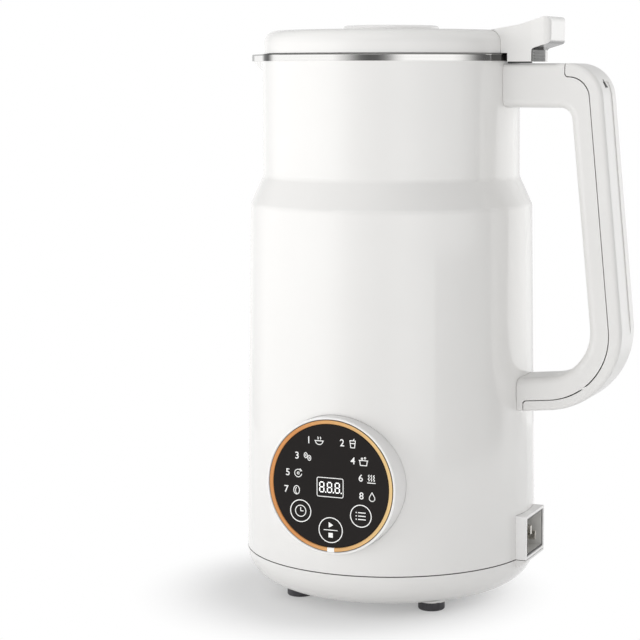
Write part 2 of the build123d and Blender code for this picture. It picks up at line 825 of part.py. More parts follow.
# End frame of the motor: lower bearing seat, two posts up to the stack and the brush holders' floor
end_frame_top_z = end_frame_z + end_frame_thickness
with BuildPart() as motor_end_frame:
    with BuildSketch(Plane.XY.offset(end_frame_z)):
        Circle(stator_radius)
        Rectangle(2 * stator_radius, stator_flat_width, mode=Mode.INTERSECT)
    extrude(amount=end_frame_thickness)
    with Locations((0, 0, end_frame_z)):
        Cylinder(bearing_boss_radius, bearing_width, align=upward)
    with Locations((motor_screw_place, 0, end_frame_z), (-motor_screw_place, 0, end_frame_z)):
        Cylinder(motor_post_radius, stack_z - end_frame_z, align=upward)
    with Locations((0, 0, end_frame_z)):
        Cylinder(bearing_seat_radius, bearing_width + overrun, mode=Mode.SUBTRACT)
        Cylinder(bearing_seat_radius, bearing_width + overrun, align=upward, mode=Mode.SUBTRACT)
    with Locations((motor_screw_place, 0, 0), (-motor_screw_place, 0, 0)):
        Cylinder(screw_radius + seat_gap, stack_z + overrun, align=upward, mode=Mode.SUBTRACT)
    with BuildSketch(Plane.XY.offset(end_frame_z)):
        with PolarLocations((bearing_boss_radius + stator_radius) / 2, frame_arm_count,
                            start_angle=column_angle):
            Circle(column_radius)
    extrude(amount=end_frame_thickness, mode=Mode.SUBTRACT)
motor_end_frame.part.label = "motor_end_frame"
export_step(motor_end_frame.part, "parts/motor_end_frame.step")

with BuildPart() as motor_screws:
    for side in (-1, 1):
        with Locations((side * motor_screw_place, 0, end_frame_z)):
            Cylinder(motor_post_radius, screw_head_height, align=downward)
            Cylinder(screw_radius, carrier_z + carrier_thickness - end_frame_z, align=upward)
motor_screws.part.label = "motor_screws"
export_step(motor_screws.part, "parts/motor_screws.step")

with BuildPart() as ball_bearings:
    for low_z in (lower_bearing_z, upper_bearing_z):
        with BuildSketch(Plane.XY.offset(low_z)):
            Circle(bearing_radius)
            Circle(shaft_radius + running_gap, mode=Mode.SUBTRACT)
        extrude(amount=bearing_width)
        groove_radius = (bearing_radius + shaft_radius) / 2
        for level in (low_z - bearing_shield_gap, low_z + bearing_width - bearing_shield_gap):
            with BuildSketch(Plane.XY.offset(level)):
                Circle(groove_radius + bearing_shield_gap)
                Circle(groove_radius - bearing_shield_gap, mode=Mode.SUBTRACT)
            extrude(amount=2 * bearing_shield_gap, mode=Mode.SUBTRACT)
ball_bearings.part.label = "ball_bearings"
export_step(ball_bearings.part, "parts/ball_bearings.step")

# Brushes that press on the commutator from both sides, and their holders
brush_z = commutator_z + commutator_height / 2
with BuildPart() as brush_holders:
    for side in (-1, 1):
        holder_top_z = brush_z + holder_size / 2
        with Locations((side * (holder_start + holder_length / 2), 0, end_frame_top_z)):
            Box(holder_length, holder_size, holder_top_z - end_frame_top_z, align=upward)
        with Locations((side * (holder_start + holder_length / 2), 0, brush_z)):
            Box(holder_length + overrun, brush_size + 2 * running_gap,
                brush_size + 2 * running_gap, mode=Mode.SUBTRACT)
brush_holders.part.label = "brush_holders"
export_step(brush_holders.part, "parts/brush_holders.step")

with BuildPart() as carbon_brushes:
    for side in (-1, 1):
        with Locations((side * (commutator_radius + slide_gap + brush_length / 2), 0, brush_z)):
            Box(brush_length, brush_size, brush_size)
carbon_brushes.part.label = "carbon_brushes"
export_step(carbon_brushes.part, "parts/carbon_brushes.step")

# Rotor: one steel shaft from the fan up to the blades
hub_z = housing_top_z + hub_gap
blade_z = hub_z + hub_height
nut_z = blade_z + 2 * blade_thickness
shaft_top_z = nut_z + blade_nut_height - blade_thickness
with BuildPart() as motor_shaft:
    with Locations((0, 0, shaft_bottom_z)):
        Cylinder(shaft_radius, hub_z - shaft_bottom_z, align=upward)
        Cylinder(blade_shaft_radius, shaft_top_z - shaft_bottom_z, align=upward)
motor_shaft.part.label = "motor_shaft"
export_step(motor_shaft.part, "parts/motor_shaft.step")

armature_radius = stator_bore_radius - air_gap
with BuildPart() as armature_core:
    with BuildSketch(Plane.XY.offset(stack_z)):
        Circle(armature_radius)
        Circle(shaft_radius + running_gap, mode=Mode.SUBTRACT)
        with PolarLocations(armature_radius - armature_slot_depth / 2, armature_slot_count):
            Rectangle(armature_slot_depth + air_gap, armature_slot_width, mode=Mode.SUBTRACT)
    extrude(amount=stack_height)
armature_core.part.label = "armature_core"
export_step(armature_core.part, "parts/armature_core.step")

with BuildPart() as armature_windings:
    for low_z in (stack_z - winding_height, stack_top_z):
        with BuildSketch(Plane.XY.offset(low_z)):
            Circle(winding_radius)
            Circle(shaft_radius + running_gap, mode=Mode.SUBTRACT)
        extrude(amount=winding_height)
armature_windings.part.label = "armature_windings"
export_step(armature_windings.part, "parts/armature_windings.step")

with BuildPart() as commutator:
    with BuildSketch(Plane.XY.offset(commutator_z)):
        Circle(commutator_radius)
        Circle(shaft_radius + running_gap, mode=Mode.SUBTRACT)
    extrude(amount=commutator_height)
commutator.part.label = "commutator"
export_step(commutator.part, "parts/commutator.step")

with BuildPart() as cooling_fan:
    with BuildSketch(Plane.XY.offset(fan_z)):
        Circle(fan_radius)
    extrude(amount=fan_plate_thickness)
    fan_blade_run = fan_radius - fan_hub_radius
    with BuildSketch(Plane.XY.offset(fan_z)):
        Circle(fan_hub_radius)
        with PolarLocations(fan_hub_radius + fan_blade_run / 2 - fan_blade_thickness,
                            fan_blade_count):
            Rectangle(fan_blade_run, fan_blade_thickness)
    extrude(amount=fan_height)
    with BuildSketch(Plane.XY.offset(fan_z - fan_plate_thickness)):
        Circle(shaft_radius + running_gap)
    extrude(amount=fan_height + 2 * fan_plate_thickness, mode=Mode.SUBTRACT)
cooling_fan.part.label = "cooling_fan"
export_step(cooling_fan.part, "parts/cooling_fan.step")

with BuildPart() as blade_hub:
    with BuildSketch(Plane.XY.offset(hub_z)):
        Circle(hub_radius)
        Circle(blade_shaft_radius + running_gap, mode=Mode.SUBTRACT)
    extrude(amount=hub_height)
blade_hub.part.label = "blade_hub"
export_step(blade_hub.part, "parts/blade_hub.step")


def blade_section(base_z, rise):
    """Return the bent section of one blade, whose tips stand rise above its flat middle."""
    middle = blade_flat_width / 2
    tip = blade_span / 2
    low = [(-tip, base_z + rise), (-middle, base_z), (middle, base_z), (tip, base_z + rise)]
    return low + [(x, z + blade_thickness) for x, z in reversed(low)]


# Two crossed blades: the tips of the lower one point down, those of the upper one up
with BuildPart() as lower_blade:
    with BuildSketch(Plane.YZ):
        with BuildLine():
            Polyline(*blade_section(blade_z, -blade_rise), close=True)
        make_face()
    extrude(amount=blade_width / 2, both=True)
    with BuildSketch(Plane.XY.offset(blade_z - blade_rise)):
        SlotOverall(blade_span, blade_width, rotation=90)
    extrude(amount=2 * blade_rise, mode=Mode.INTERSECT)
    with Locations((0, 0, blade_z)):
        Cylinder(blade_shaft_radius + running_gap, overrun, mode=Mode.SUBTRACT)
lower_blade.part.label = "lower_blade"
export_step(lower_blade.part, "parts/lower_blade.step")

with BuildPart() as upper_blade:
    with BuildSketch(Plane.XZ):
        with BuildLine():
            Polyline(*blade_section(blade_z + blade_thickness, blade_rise), close=True)
        make_face()
    extrude(amount=blade_width / 2, both=True)
    with BuildSketch(Plane.XY.offset(blade_z)):
        SlotOverall(blade_span, blade_width)
    extrude(amount=2 * blade_rise, mode=Mode.INTERSECT)
    with Locations((0, 0, blade_z)):
        Cylinder(blade_shaft_radius + running_gap, 2 * overrun, mode=Mode.SUBTRACT)
upper_blade.part.label = "upper_blade"
export_step(upper_blade.part, "parts/upper_blade.step")

with BuildPart() as blade_nut:
    with BuildSketch(Plane.XY.offset(nut_z)):
        RegularPolygon(blade_nut_radius, 6)
    extrude(amount=blade_nut_height)
    chamfer(blade_nut.edges().group_by(Axis.Z)[-1], blade_thickness)
    with Locations((0, 0, nut_z)):
        Cylinder(blade_shaft_radius + running_gap, shaft_top_z - nut_z + seat_gap, align=upward,
                 mode=Mode.SUBTRACT)
blade_nut.part.label = "blade_nut"
export_step(blade_nut.part, "parts/blade_nut.step")

# Control pod: a round cup let into the casing, with a ledge for the ring and the glass
pod_floor_face = pod_face - pod_depth
ledge_face = pod_face - glass_setback - glass_thickness
ring_outer_radius = pod_radius - pod_lip - seat_gap
ring_inner_radius = ring_outer_radius - ring_width
glass_radius = ring_inner_radius - running_gap
board_face = pod_face - board_setback
indicator_place = (ring_outer_radius + ring_inner_radius) / 2
board_posts = circle_places(board_post_place, board_post_count, 90)
with BuildPart() as pod_housing:
    with BuildSketch(pod_plane.offset(pod_floor_face)):
        Circle(pod_radius)
    extrude(amount=pod_depth)
    with BuildSketch(pod_plane.offset(pod_floor_face + pod_floor_thickness)):
        Circle(pod_cavity_radius)
    extrude(amount=pod_depth, mode=Mode.SUBTRACT)
    with BuildSketch(pod_plane.offset(ledge_face)):
        Circle(pod_radius - pod_lip)
    extrude(amount=pod_depth, mode=Mode.SUBTRACT)
    fillet(pod_housing.faces().sort_by(Axis.Y)[0].edges(), pod_edge_radius)
    with BuildSketch(pod_plane.offset(pod_floor_face)):
        with Locations(*board_posts):
            Circle(board_post_radius)
    extrude(amount=board_face - board_thickness - pod_floor_face)
    with BuildSketch(pod_plane.offset(ledge_face - indicator_depth)):
        with Locations((0, -indicator_place)):
            Rectangle(indicator_width + 2 * running_gap, ring_width)
    extrude(amount=indicator_depth, mode=Mode.SUBTRACT)
    with BuildSketch(pod_plane.offset(pod_floor_face)):
        with Locations((0, -board_post_place / 2)):
            SlotOverall(board_post_place, board_post_radius * 2)
    extrude(amount=pod_floor_thickness, mode=Mode.SUBTRACT)
pod_housing.part.label = "pod_housing"
export_step(pod_housing.part, "parts/pod_housing.step")

with BuildPart() as accent_ring:
    with BuildSketch(pod_plane.offset(ledge_face)):
        Circle(ring_outer_radius)
        Circle(ring_inner_radius, mode=Mode.SUBTRACT)
        with Locations((0, -indicator_place)):
            Rectangle(indicator_width + 2 * running_gap, 2 * ring_width, mode=Mode.SUBTRACT)
    extrude(amount=pod_face - ring_setback - ledge_face)
    chamfer(accent_ring.faces().sort_by(Axis.Y)[0].edges().filter_by(GeomType.CIRCLE), ring_edge)
accent_ring.part.label = "accent_ring"
export_step(accent_ring.part, "parts/accent_ring.step")

with BuildPart() as touch_glass:
    with BuildSketch(pod_plane.offset(ledge_face)):
        Circle(glass_radius)
    extrude(amount=glass_thickness)
    chamfer(touch_glass.faces().sort_by(Axis.Y)[0].edges(), ring_edge)
touch_glass.part.label = "touch_glass"
export_step(touch_glass.part, "parts/touch_glass.step")

with BuildPart() as indicator_lens:
    with BuildSketch(pod_plane.offset(ledge_face - indicator_depth)):
        with Locations((0, -indicator_place)):
            Rectangle(indicator_width, ring_width - running_gap)
    extrude(amount=indicator_depth + pod_face - ring_setback - ledge_face)
indicator_lens.part.label = "indicator_lens"
export_step(indicator_lens.part, "parts/indicator_lens.step")

with BuildPart() as control_board:
    with BuildSketch(pod_plane.offset(board_face - board_thickness)):
        Circle(board_radius)
    extrude(amount=board_thickness)
control_board.part.label = "control_board"
export_step(control_board.part, "parts/control_board.step")

with BuildPart() as display_module:
    with BuildSketch(pod_plane.offset(board_face)):
        with Locations((0, display_offset)):
            Rectangle(display_width, display_height)
    extrude(amount=ledge_face - board_face - seat_gap)
display_module.part.label = "display_module"
export_step(display_module.part, "parts/display_module.step")

key_places = [(-side_key_spread, -side_key_drop), (0, -middle_key_drop),
              (side_key_spread, -side_key_drop)]
with BuildPart() as touch_pads:
    with BuildSketch(pod_plane.offset(board_face)):
        with Locations(*key_places):
            Circle(touch_pad_radius)
    extrude(amount=ledge_face - board_face)
touch_pads.part.label = "touch_pads"
export_step(touch_pads.part, "parts/touch_pads.step")

# Power inlet: a white shroud through the casing, a grey socket cup in it, and three pins
inlet_z = shroud_bottom_z + shroud_height / 2
shroud_back = shroud_face - shroud_depth
cup_width = shroud_width - 2 * shroud_wall
cup_height = shroud_height - 2 * shroud_wall
inlet_plane = Plane(origin=(shroud_back, 0, inlet_z), x_dir=Plane.YZ.x_dir, z_dir=Plane.YZ.z_dir)
with BuildPart() as inlet_shroud:
    with BuildSketch(inlet_plane):
        Rectangle(shroud_width, shroud_height)
        Rectangle(cup_width, cup_height, mode=Mode.SUBTRACT)
    extrude(amount=shroud_depth)
inlet_shroud.part.label = "inlet_shroud"
export_step(inlet_shroud.part, "parts/inlet_shroud.step")

pin_places = [(-pin_spread, -pin_drop), (pin_spread, -pin_drop), (0, earth_pin_rise - pin_drop)]
with BuildPart() as inlet_socket:
    with BuildSketch(inlet_plane):
        Rectangle(cup_width - 2 * running_gap, cup_height - 2 * running_gap)
    extrude(amount=shroud_depth - socket_setback)
    with BuildSketch(inlet_plane.offset(socket_floor)):
        Rectangle(cup_width - 2 * socket_wall, cup_height - 2 * socket_wall)
    extrude(amount=shroud_depth, mode=Mode.SUBTRACT)
    with BuildSketch(inlet_plane):
        with Locations(*pin_places):
            Rectangle(pin_width + 2 * running_gap, pin_height + 2 * running_gap)
    extrude(amount=socket_floor, mode=Mode.SUBTRACT)
inlet_socket.part.label = "inlet_socket"
export_step(inlet_socket.part, "parts/inlet_socket.step")

with BuildPart() as inlet_pins:
    with BuildSketch(inlet_plane.offset(-pin_tab_length)):
        with Locations(*pin_places):
            Rectangle(pin_width, pin_height)
    extrude(amount=pin_tab_length + pin_length)
inlet_pins.part.label = "inlet_pins"
export_step(inlet_pins.part, "parts/inlet_pins.step")

# Power board on its rails, and the parts soldered to its outer side
board_mid_z = power_board_z + power_board_height / 2
with BuildPart() as power_board:
    with Locations((-power_board_place, 0, power_board_z)):
        Box(board_thickness, power_board_width, power_board_height, align=upward)
power_board.part.label = "power_board"
export_step(power_board.part, "parts/power_board.step")

with BuildPart() as power_components:
    with Locations((board_side_x - transformer_size / 2, 0, board_mid_z)):
        Box(transformer_size, transformer_size, transformer_size)
    relay_place = (transformer_size + relay_width) / 2 + relay_width / 2
    with Locations((board_side_x - relay_width / 2, relay_place, board_mid_z)):
        Box(relay_width, relay_width, relay_length)
    with BuildSketch(Plane(origin=(board_side_x, 0, board_mid_z), x_dir=Plane.YZ.x_dir,
                           z_dir=-Plane.YZ.z_dir)):
        with Locations((-relay_place, capacitor_radius + seat_gap),
                       (-relay_place, -capacitor_radius - seat_gap)):
            Circle(capacitor_radius)
    extrude(amount=capacitor_length)
power_components.part.label = "power_components"
export_step(power_components.part, "parts/power_components.step")

# Two insulated leads from the inlet's tabs, round the motor, to the power board
lead_start_x = shroud_back - pin_tab_length
lead_end_x = board_thickness / 2 - power_board_place
lead_end_y = board_rail_spread - 1.5 * lead_spacing
lead_way = stator_radius + motor_post_radius + 2 * lead_bend_radius / 3
with BuildPart() as mains_leads:
    for index in range(2):
        lead_y = pin_spread * (1 - 2 * index)
        lead_z = inlet_z - pin_drop + index * lead_spacing
        with BuildLine() as lead_route:
            FilletPolyline(
                (lead_start_x, lead_y, inlet_z - pin_drop),
                (lead_start_x - lead_bend_radius, lead_y, inlet_z - pin_drop),
                (lead_start_x - 3 * lead_bend_radius, lead_way - lead_bend_radius, lead_z),
                (0, lead_way + lead_bend_radius, lead_z),
                (lead_end_x + lead_bend_radius, lead_way - lead_bend_radius, lead_z),
                (lead_end_x + lead_bend_radius, lead_end_y, lead_z),
                (lead_end_x, lead_end_y, lead_z),
                radius=lead_bend_radius / 2
            )
        with BuildSketch(Plane(origin=lead_route.line @ 0, z_dir=lead_route.line % 0)):
            Circle(lead_radius)
        sweep(path=lead_route.line)
mains_leads.part.label = "mains_leads"
export_step(mains_leads.part, "parts/mains_leads.step")

# Handle: the outer edge as an open path, from inside the neck over the top and back below
grip_fall = (handle_low_reach - handle_corner_reach) / (
    handle_top_z - handle_bottom_z - handle_low_rise)
root_x = neck_top_radius - overrun
low_root_x = casing_waist_radius - overrun
arm_slope = handle_low_rise / (handle_low_reach - casing_waist_radius)
grip_outer = [
    (root_x, handle_top_z),
    (handle_corner_reach, handle_top_z),
    (handle_low_reach, handle_bottom_z + handle_low_rise),
    (low_root_x, handle_bottom_z - arm_slope * overrun),
]
finger_top_z = handle_top_z - upper_arm_height
finger_low_z = handle_bottom_z + lower_arm_height
finger_top_reach = handle_corner_reach + grip_fall * upper_arm_height - grip_depth
finger_low_reach = (handle_corner_reach + grip_fall * (handle_top_z - finger_low_z)
                    - grip_depth)
grip_inner = [
    (low_root_x, finger_low_z - arm_slope * overrun),
    (finger_low_reach, finger_low_z + arm_slope * (finger_low_reach - casing_waist_radius)),
    (finger_top_reach, finger_top_z),
    (root_x, finger_top_z),
]
grip_radii = [0, grip_top_radius, grip_low_radius, 0, 0, finger_low_radius, finger_top_radius, 0]

with BuildPart() as handle_blank:
    with BuildSketch(Plane.XZ):
        with BuildLine():
            FilletPolyline(*grip_outer, *grip_inner, radius=grip_radii, close=True)
        make_face()
    extrude(amount=handle_width / 2, both=True)
    side_edges = handle_blank.faces().sort_by(Axis.Y)[0].edges()
    side_edges += handle_blank.faces().sort_by(Axis.Y)[-1].edges()
    side_edges = [edge for edge in side_edges if edge.center().X > casing_seam_radius
                  or edge.length > handle_width]
    outer_edges = [edge for edge in side_edges if edge.center().Z > finger_top_z + slide_gap
                   or edge.center().Z < finger_low_z - slide_gap
                   or edge.center().X > finger_top_reach + grip_depth / 2]
    fillet([edge for edge in side_edges if edge not in outer_edges], handle_edge_radius)
    fillet(outer_edges, cover_edge_radius)
    add(casing_envelope.part, mode=Mode.SUBTRACT)

# Hollow inside both handle shells; it stops short of the casing, where the screws go in
cavity_outer = inset_path(grip_outer, handle_wall)
cavity_inner = inset_path(grip_inner, handle_wall)
cavity_radii = [0, grip_top_radius - handle_wall, grip_low_radius - handle_wall, 0, 0,
                finger_low_radius + handle_wall, finger_top_radius + handle_wall, 0]
with BuildPart() as handle_cavity:
    with BuildSketch(Plane.XZ):
        with BuildLine():
            FilletPolyline(*cavity_outer, *cavity_inner, radius=cavity_radii, close=True)
        make_face()
        with Locations((casing_seam_radius + handle_root, handle_bottom_z)):
            Rectangle(2 * neck_height, 4 * (handle_top_z - handle_bottom_z),
                      align=(Align.MAX, Align.CENTER), mode=Mode.SUBTRACT)
    extrude(amount=handle_width / 2 - handle_wall, both=True)

# Region of the outer cover, bounded by the seam between the two shells
far_x = handle_low_reach + overrun
cover_top_z = handle_top_z + overrun
cover_low_z = handle_bottom_z - overrun


def cover_region(gap):
    """Return the closed outline of the cover's region, drawn in by gap at the seam."""
    seam = inset_path(grip_outer, cover_depth - gap)
    drop = cover_depth - cover_low_depth
    arm_top = seam[-1][1] - drop + arm_slope * (cover_low_reach + gap - seam[-1][0])
    return [
        (cover_top_reach + gap, cover_top_z),
        (cover_top_reach + gap, seam[0][1]),
        seam[1],
        (seam[2][0] + grip_fall * drop, seam[2][1] - drop),
        (cover_low_reach + gap, arm_top),
        (cover_low_reach + gap, cover_low_z),
        (far_x, cover_low_z),
        (far_x, cover_top_z),
    ]


cover_radii = [0, seam_jog_radius, cover_arc_radius,
               grip_low_radius - cover_depth, seam_jog_radius, 0, 0, 0]
reed_z = handle_top_z - reed_drop
handle_screws_at = [(side * handle_screw_spread, level)
                    for side in (-1, 1) for level in (lower_screw_z, upper_screw_z)]
with BuildPart() as handle_frame:
    add(handle_blank.part)
    add(handle_cavity.part, mode=Mode.SUBTRACT)
    with BuildSketch(Plane.XZ):
        with BuildLine():
            FilletPolyline(*cover_region(0), radius=cover_radii, close=True)
        make_face()
    extrude(amount=handle_width, both=True, mode=Mode.SUBTRACT)
    with BuildSketch(Plane.YZ):
        with Locations(*handle_screws_at):
            Circle(pilot_radius)
    extrude(amount=casing_seam_radius + handle_screw_length, mode=Mode.SUBTRACT)
    with BuildSketch(Plane.YZ.offset(neck_top_radius + handle_wall)):
        with Locations((0, reed_z)):
            Circle(reed_radius + slide_gap)
    extrude(amount=reed_length + overrun, mode=Mode.SUBTRACT)
handle_frame.part.label = "handle_frame"
export_step(handle_frame.part, "parts/handle_frame.step")

# The outer cover has a long shallow inset down its outer face
inset_top_z = handle_top_z - grip_inset_drop
inset_low_z = handle_bottom_z + grip_low_radius
inset_floor = inset_path(grip_outer, grip_inset_depth)
grip_inset_reach = far_x - casing_seam_radius
with BuildPart() as handle_cover:
    add(handle_blank.part)
    add(handle_cavity.part, mode=Mode.SUBTRACT)
    with BuildSketch(Plane.XZ):
        with BuildLine():
            FilletPolyline(*cover_region(handle_seam), radius=cover_radii, close=True)
        make_face()
    extrude(amount=handle_width, both=True, mode=Mode.INTERSECT)
    with BuildSketch(Plane.XZ):
        with BuildLine():
            FilletPolyline(
                *inset_floor[:3], (far_x, inset_floor[2][1]), (far_x, cover_top_z),
                (inset_floor[0][0], cover_top_z), close=True,
                radius=[0, grip_top_radius - grip_inset_depth, 0, 0, 0, 0]
            )
        make_face()
        with Locations((far_x, inset_top_z)):
            Rectangle(2 * grip_inset_reach, inset_top_z - inset_low_z,
                      align=(Align.CENTER, Align.MAX), mode=Mode.INTERSECT)
    extrude(amount=grip_inset_width / 2, both=True, mode=Mode.SUBTRACT)
handle_cover.part.label = "handle_cover"
export_step(handle_cover.part, "parts/handle_cover.step")

# Screws from inside the casing into the roots of the handle's arms
with BuildPart() as handle_screws:
    draft = (casing_seam_radius - casing_waist_radius) / (casing_waist_z - seam_z)
    lower_inner = casing_seam_radius - draft * (lower_screw_z - seam_z) - casing_wall
    head_edge = handle_screw_spread + screw_head_radius
    for level, inner in ((upper_screw_z, neck_top_radius - casing_wall),
                         (lower_screw_z, lower_inner)):
        seat = sqrt(inner ** 2 - head_edge ** 2) - seat_gap
        for side in (-1, 1):
            with BuildSketch(Plane.YZ.offset(seat - screw_head_height)):
                with Locations((side * handle_screw_spread, level)):
                    Circle(screw_head_radius)
            extrude(amount=screw_head_height)
            with BuildSketch(Plane.YZ.offset(seat)):
                with Locations((side * handle_screw_spread, level)):
                    Circle(pilot_radius - running_gap)
            extrude(amount=handle_screw_length)
handle_screws.part.label = "handle_screws"
export_step(handle_screws.part, "parts/handle_screws.step")

with BuildPart() as reed_switch:
    with BuildSketch(Plane.YZ.offset(neck_top_radius + handle_wall + slide_gap)):
        with Locations((0, reed_z)):
            Circle(reed_radius)
    extrude(amount=reed_length)
reed_switch.part.label = "reed_switch"
export_step(reed_switch.part, "parts/reed_switch.step")

# Lid shell: a shallow cap that rests just above the rim
lid_bottom_z = rim_top_z + slide_gap
lid_top_z = lid_bottom_z + lid_height
lid_inner_radius = lid_radius - lid_wall
liner_top_z = lid_bottom_z + liner_thickness
lid_boss_places = circle_places(lid_boss_place, lid_boss_count, column_angle)
tab_screw_z = liner_top_z + tab_screw_head_radius + seat_gap
with BuildPart() as lid_shell:
    with BuildSketch(Plane.XZ):
        with BuildLine():
            FilletPolyline((0, lid_bottom_z), (lid_radius, lid_bottom_z), (lid_radius, lid_top_z),
                           (0, lid_top_z), radius=[0, 0, lid_edge_radius, 0], close=True)
        make_face()
    revolve(axis=Axis.Z)
    with BuildSketch(Plane.XZ):
        with BuildLine():
            FilletPolyline((0, lid_bottom_z - overrun), (lid_inner_radius, lid_bottom_z - overrun),
                           (lid_inner_radius, lid_top_z - lid_wall), (0, lid_top_z - lid_wall),
                           radius=[0, 0, lid_edge_radius - lid_wall, 0], close=True)
        make_face()
    revolve(axis=Axis.Z, mode=Mode.SUBTRACT)
    with BuildSketch(Plane.XY.offset(liner_top_z)):
        with Locations(*lid_boss_places):
            Circle(lid_boss_radius)
    extrude(amount=lid_top_z - lid_wall - liner_top_z)
    with BuildSketch(Plane.XY.offset(liner_top_z)):
        with Locations(*lid_boss_places):
            Circle(pilot_radius)
    extrude(amount=lid_screw_length, mode=Mode.SUBTRACT)
    with BuildSketch(Plane.XY.offset(liner_top_z)):
        Circle(vent_stem_radius + seat_gap)
    extrude(amount=lid_height + overrun, mode=Mode.SUBTRACT)
    with BuildSketch(Plane.YZ):
        with Locations((-tab_screw_spread, tab_screw_z), (tab_screw_spread, tab_screw_z)):
            Circle(screw_radius + seat_gap)
    extrude(amount=lid_radius + overrun, mode=Mode.SUBTRACT)
lid_shell.part.label = "lid_shell"
export_step(lid_shell.part, "parts/lid_shell.step")

# Lid liner: a disc that closes the lid, and a skirt down into the jug with strainer slots
skirt_radius = jug_radius - skirt_gap
skirt_bottom_z = lid_bottom_z - skirt_height
seal_bottom_z = skirt_bottom_z + lid_seal_rise
groove_radius = skirt_radius - lid_seal_groove
with BuildPart() as lid_liner:
    with BuildSketch(Plane.XY.offset(lid_bottom_z)):
        Circle(lid_inner_radius - seat_gap)
    extrude(amount=liner_thickness)
    with BuildSketch(Plane.XY.offset(skirt_bottom_z)):
        Circle(skirt_radius)
        Circle(skirt_radius - skirt_wall, mode=Mode.SUBTRACT)
    extrude(amount=skirt_height)
    with BuildSketch(Plane.XY.offset(seal_bottom_z - running_gap)):
        Circle(skirt_radius + overrun)
        Circle(groove_radius, mode=Mode.SUBTRACT)
    extrude(amount=lid_seal_height + 2 * running_gap, mode=Mode.SUBTRACT)
    slot_middle = (strainer_slot_count - 1) / 2
    slot_z = lid_bottom_z - strainer_slot_height / 2 - liner_thickness
    with BuildSketch(Plane.YZ):
        for index in range(strainer_slot_count):
            with Locations(((index - slot_middle) * strainer_slot_pitch, slot_z)):
                SlotOverall(strainer_slot_height, strainer_slot_width, rotation=90)
    extrude(amount=-(skirt_radius + overrun), mode=Mode.SUBTRACT)
    with BuildSketch(Plane.XY.offset(lid_bottom_z)):
        with PolarLocations(vent_hole_place, vent_hole_count):
            Circle(vent_hole_radius)
        with Locations(*lid_boss_places):
            Circle(screw_radius + seat_gap)
        with Locations((probe_place, 0)):
            Circle(probe_radius + running_gap)
    extrude(amount=liner_thickness, mode=Mode.SUBTRACT)
lid_liner.part.label = "lid_liner"
export_step(lid_liner.part, "parts/lid_liner.step")

lid_seal_radius = jug_radius - slide_gap
with BuildPart() as lid_seal:
    with BuildSketch(Plane.XY.offset(seal_bottom_z)):
        Circle(lid_seal_radius)
        Circle(groove_radius + running_gap, mode=Mode.SUBTRACT)
    extrude(amount=lid_seal_height)
    fillet(lid_seal.edges().filter_by(lambda edge: edge.radius == lid_seal_radius
                                      if edge.geom_type == GeomType.CIRCLE else False),
           lid_seal_groove / 2)
lid_seal.part.label = "lid_seal"
export_step(lid_seal.part, "parts/lid_seal.step")

# Vent cap: a round plate above the lid on a tube that stands on the liner
vent_cap_z = lid_top_z + slide_gap
with BuildPart() as vent_cap:
    with BuildSketch(Plane.XY.offset(vent_cap_z)):
        Circle(vent_cap_radius)
    extrude(amount=vent_cap_height)
    fillet(vent_cap.edges().group_by(Axis.Z)[-1], vent_cap_edge_radius)
    with BuildSketch(Plane.XY.offset(liner_top_z)):
        Circle(vent_stem_radius)
        Circle(vent_stem_radius - vent_stem_wall, mode=Mode.SUBTRACT)
    extrude(amount=vent_cap_z - liner_top_z)
vent_cap.part.label = "vent_cap"
export_step(vent_cap.part, "parts/vent_cap.step")

# Overflow probe: a steel rod that hangs into the jug, and its insulating collar
with BuildPart() as overflow_probe:
    with Locations((probe_place, 0, liner_top_z + liner_thickness)):
        Cylinder(probe_radius, probe_length, align=downward)
overflow_probe.part.label = "overflow_probe"
export_step(overflow_probe.part, "parts/overflow_probe.step")

with BuildPart() as probe_collar:
    with BuildSketch(Plane.XY.offset(lid_bottom_z - probe_collar_height)):
        with Locations((probe_place, 0)):
            Circle(probe_collar_radius)
            Circle(probe_radius + running_gap, mode=Mode.SUBTRACT)
    extrude(amount=probe_collar_height)
probe_collar.part.label = "probe_collar"
export_step(probe_collar.part, "parts/probe_collar.step")

with BuildPart() as lid_screws:
    with Locations(*[(x, y, lid_bottom_z) for x, y in lid_boss_places]):
        Cylinder(screw_head_radius, screw_head_height, align=downward)
        Cylinder(pilot_radius - running_gap, liner_thickness + lid_screw_length - seat_gap,
                 align=upward)
lid_screws.part.label = "lid_screws"
export_step(lid_screws.part, "parts/lid_screws.step")

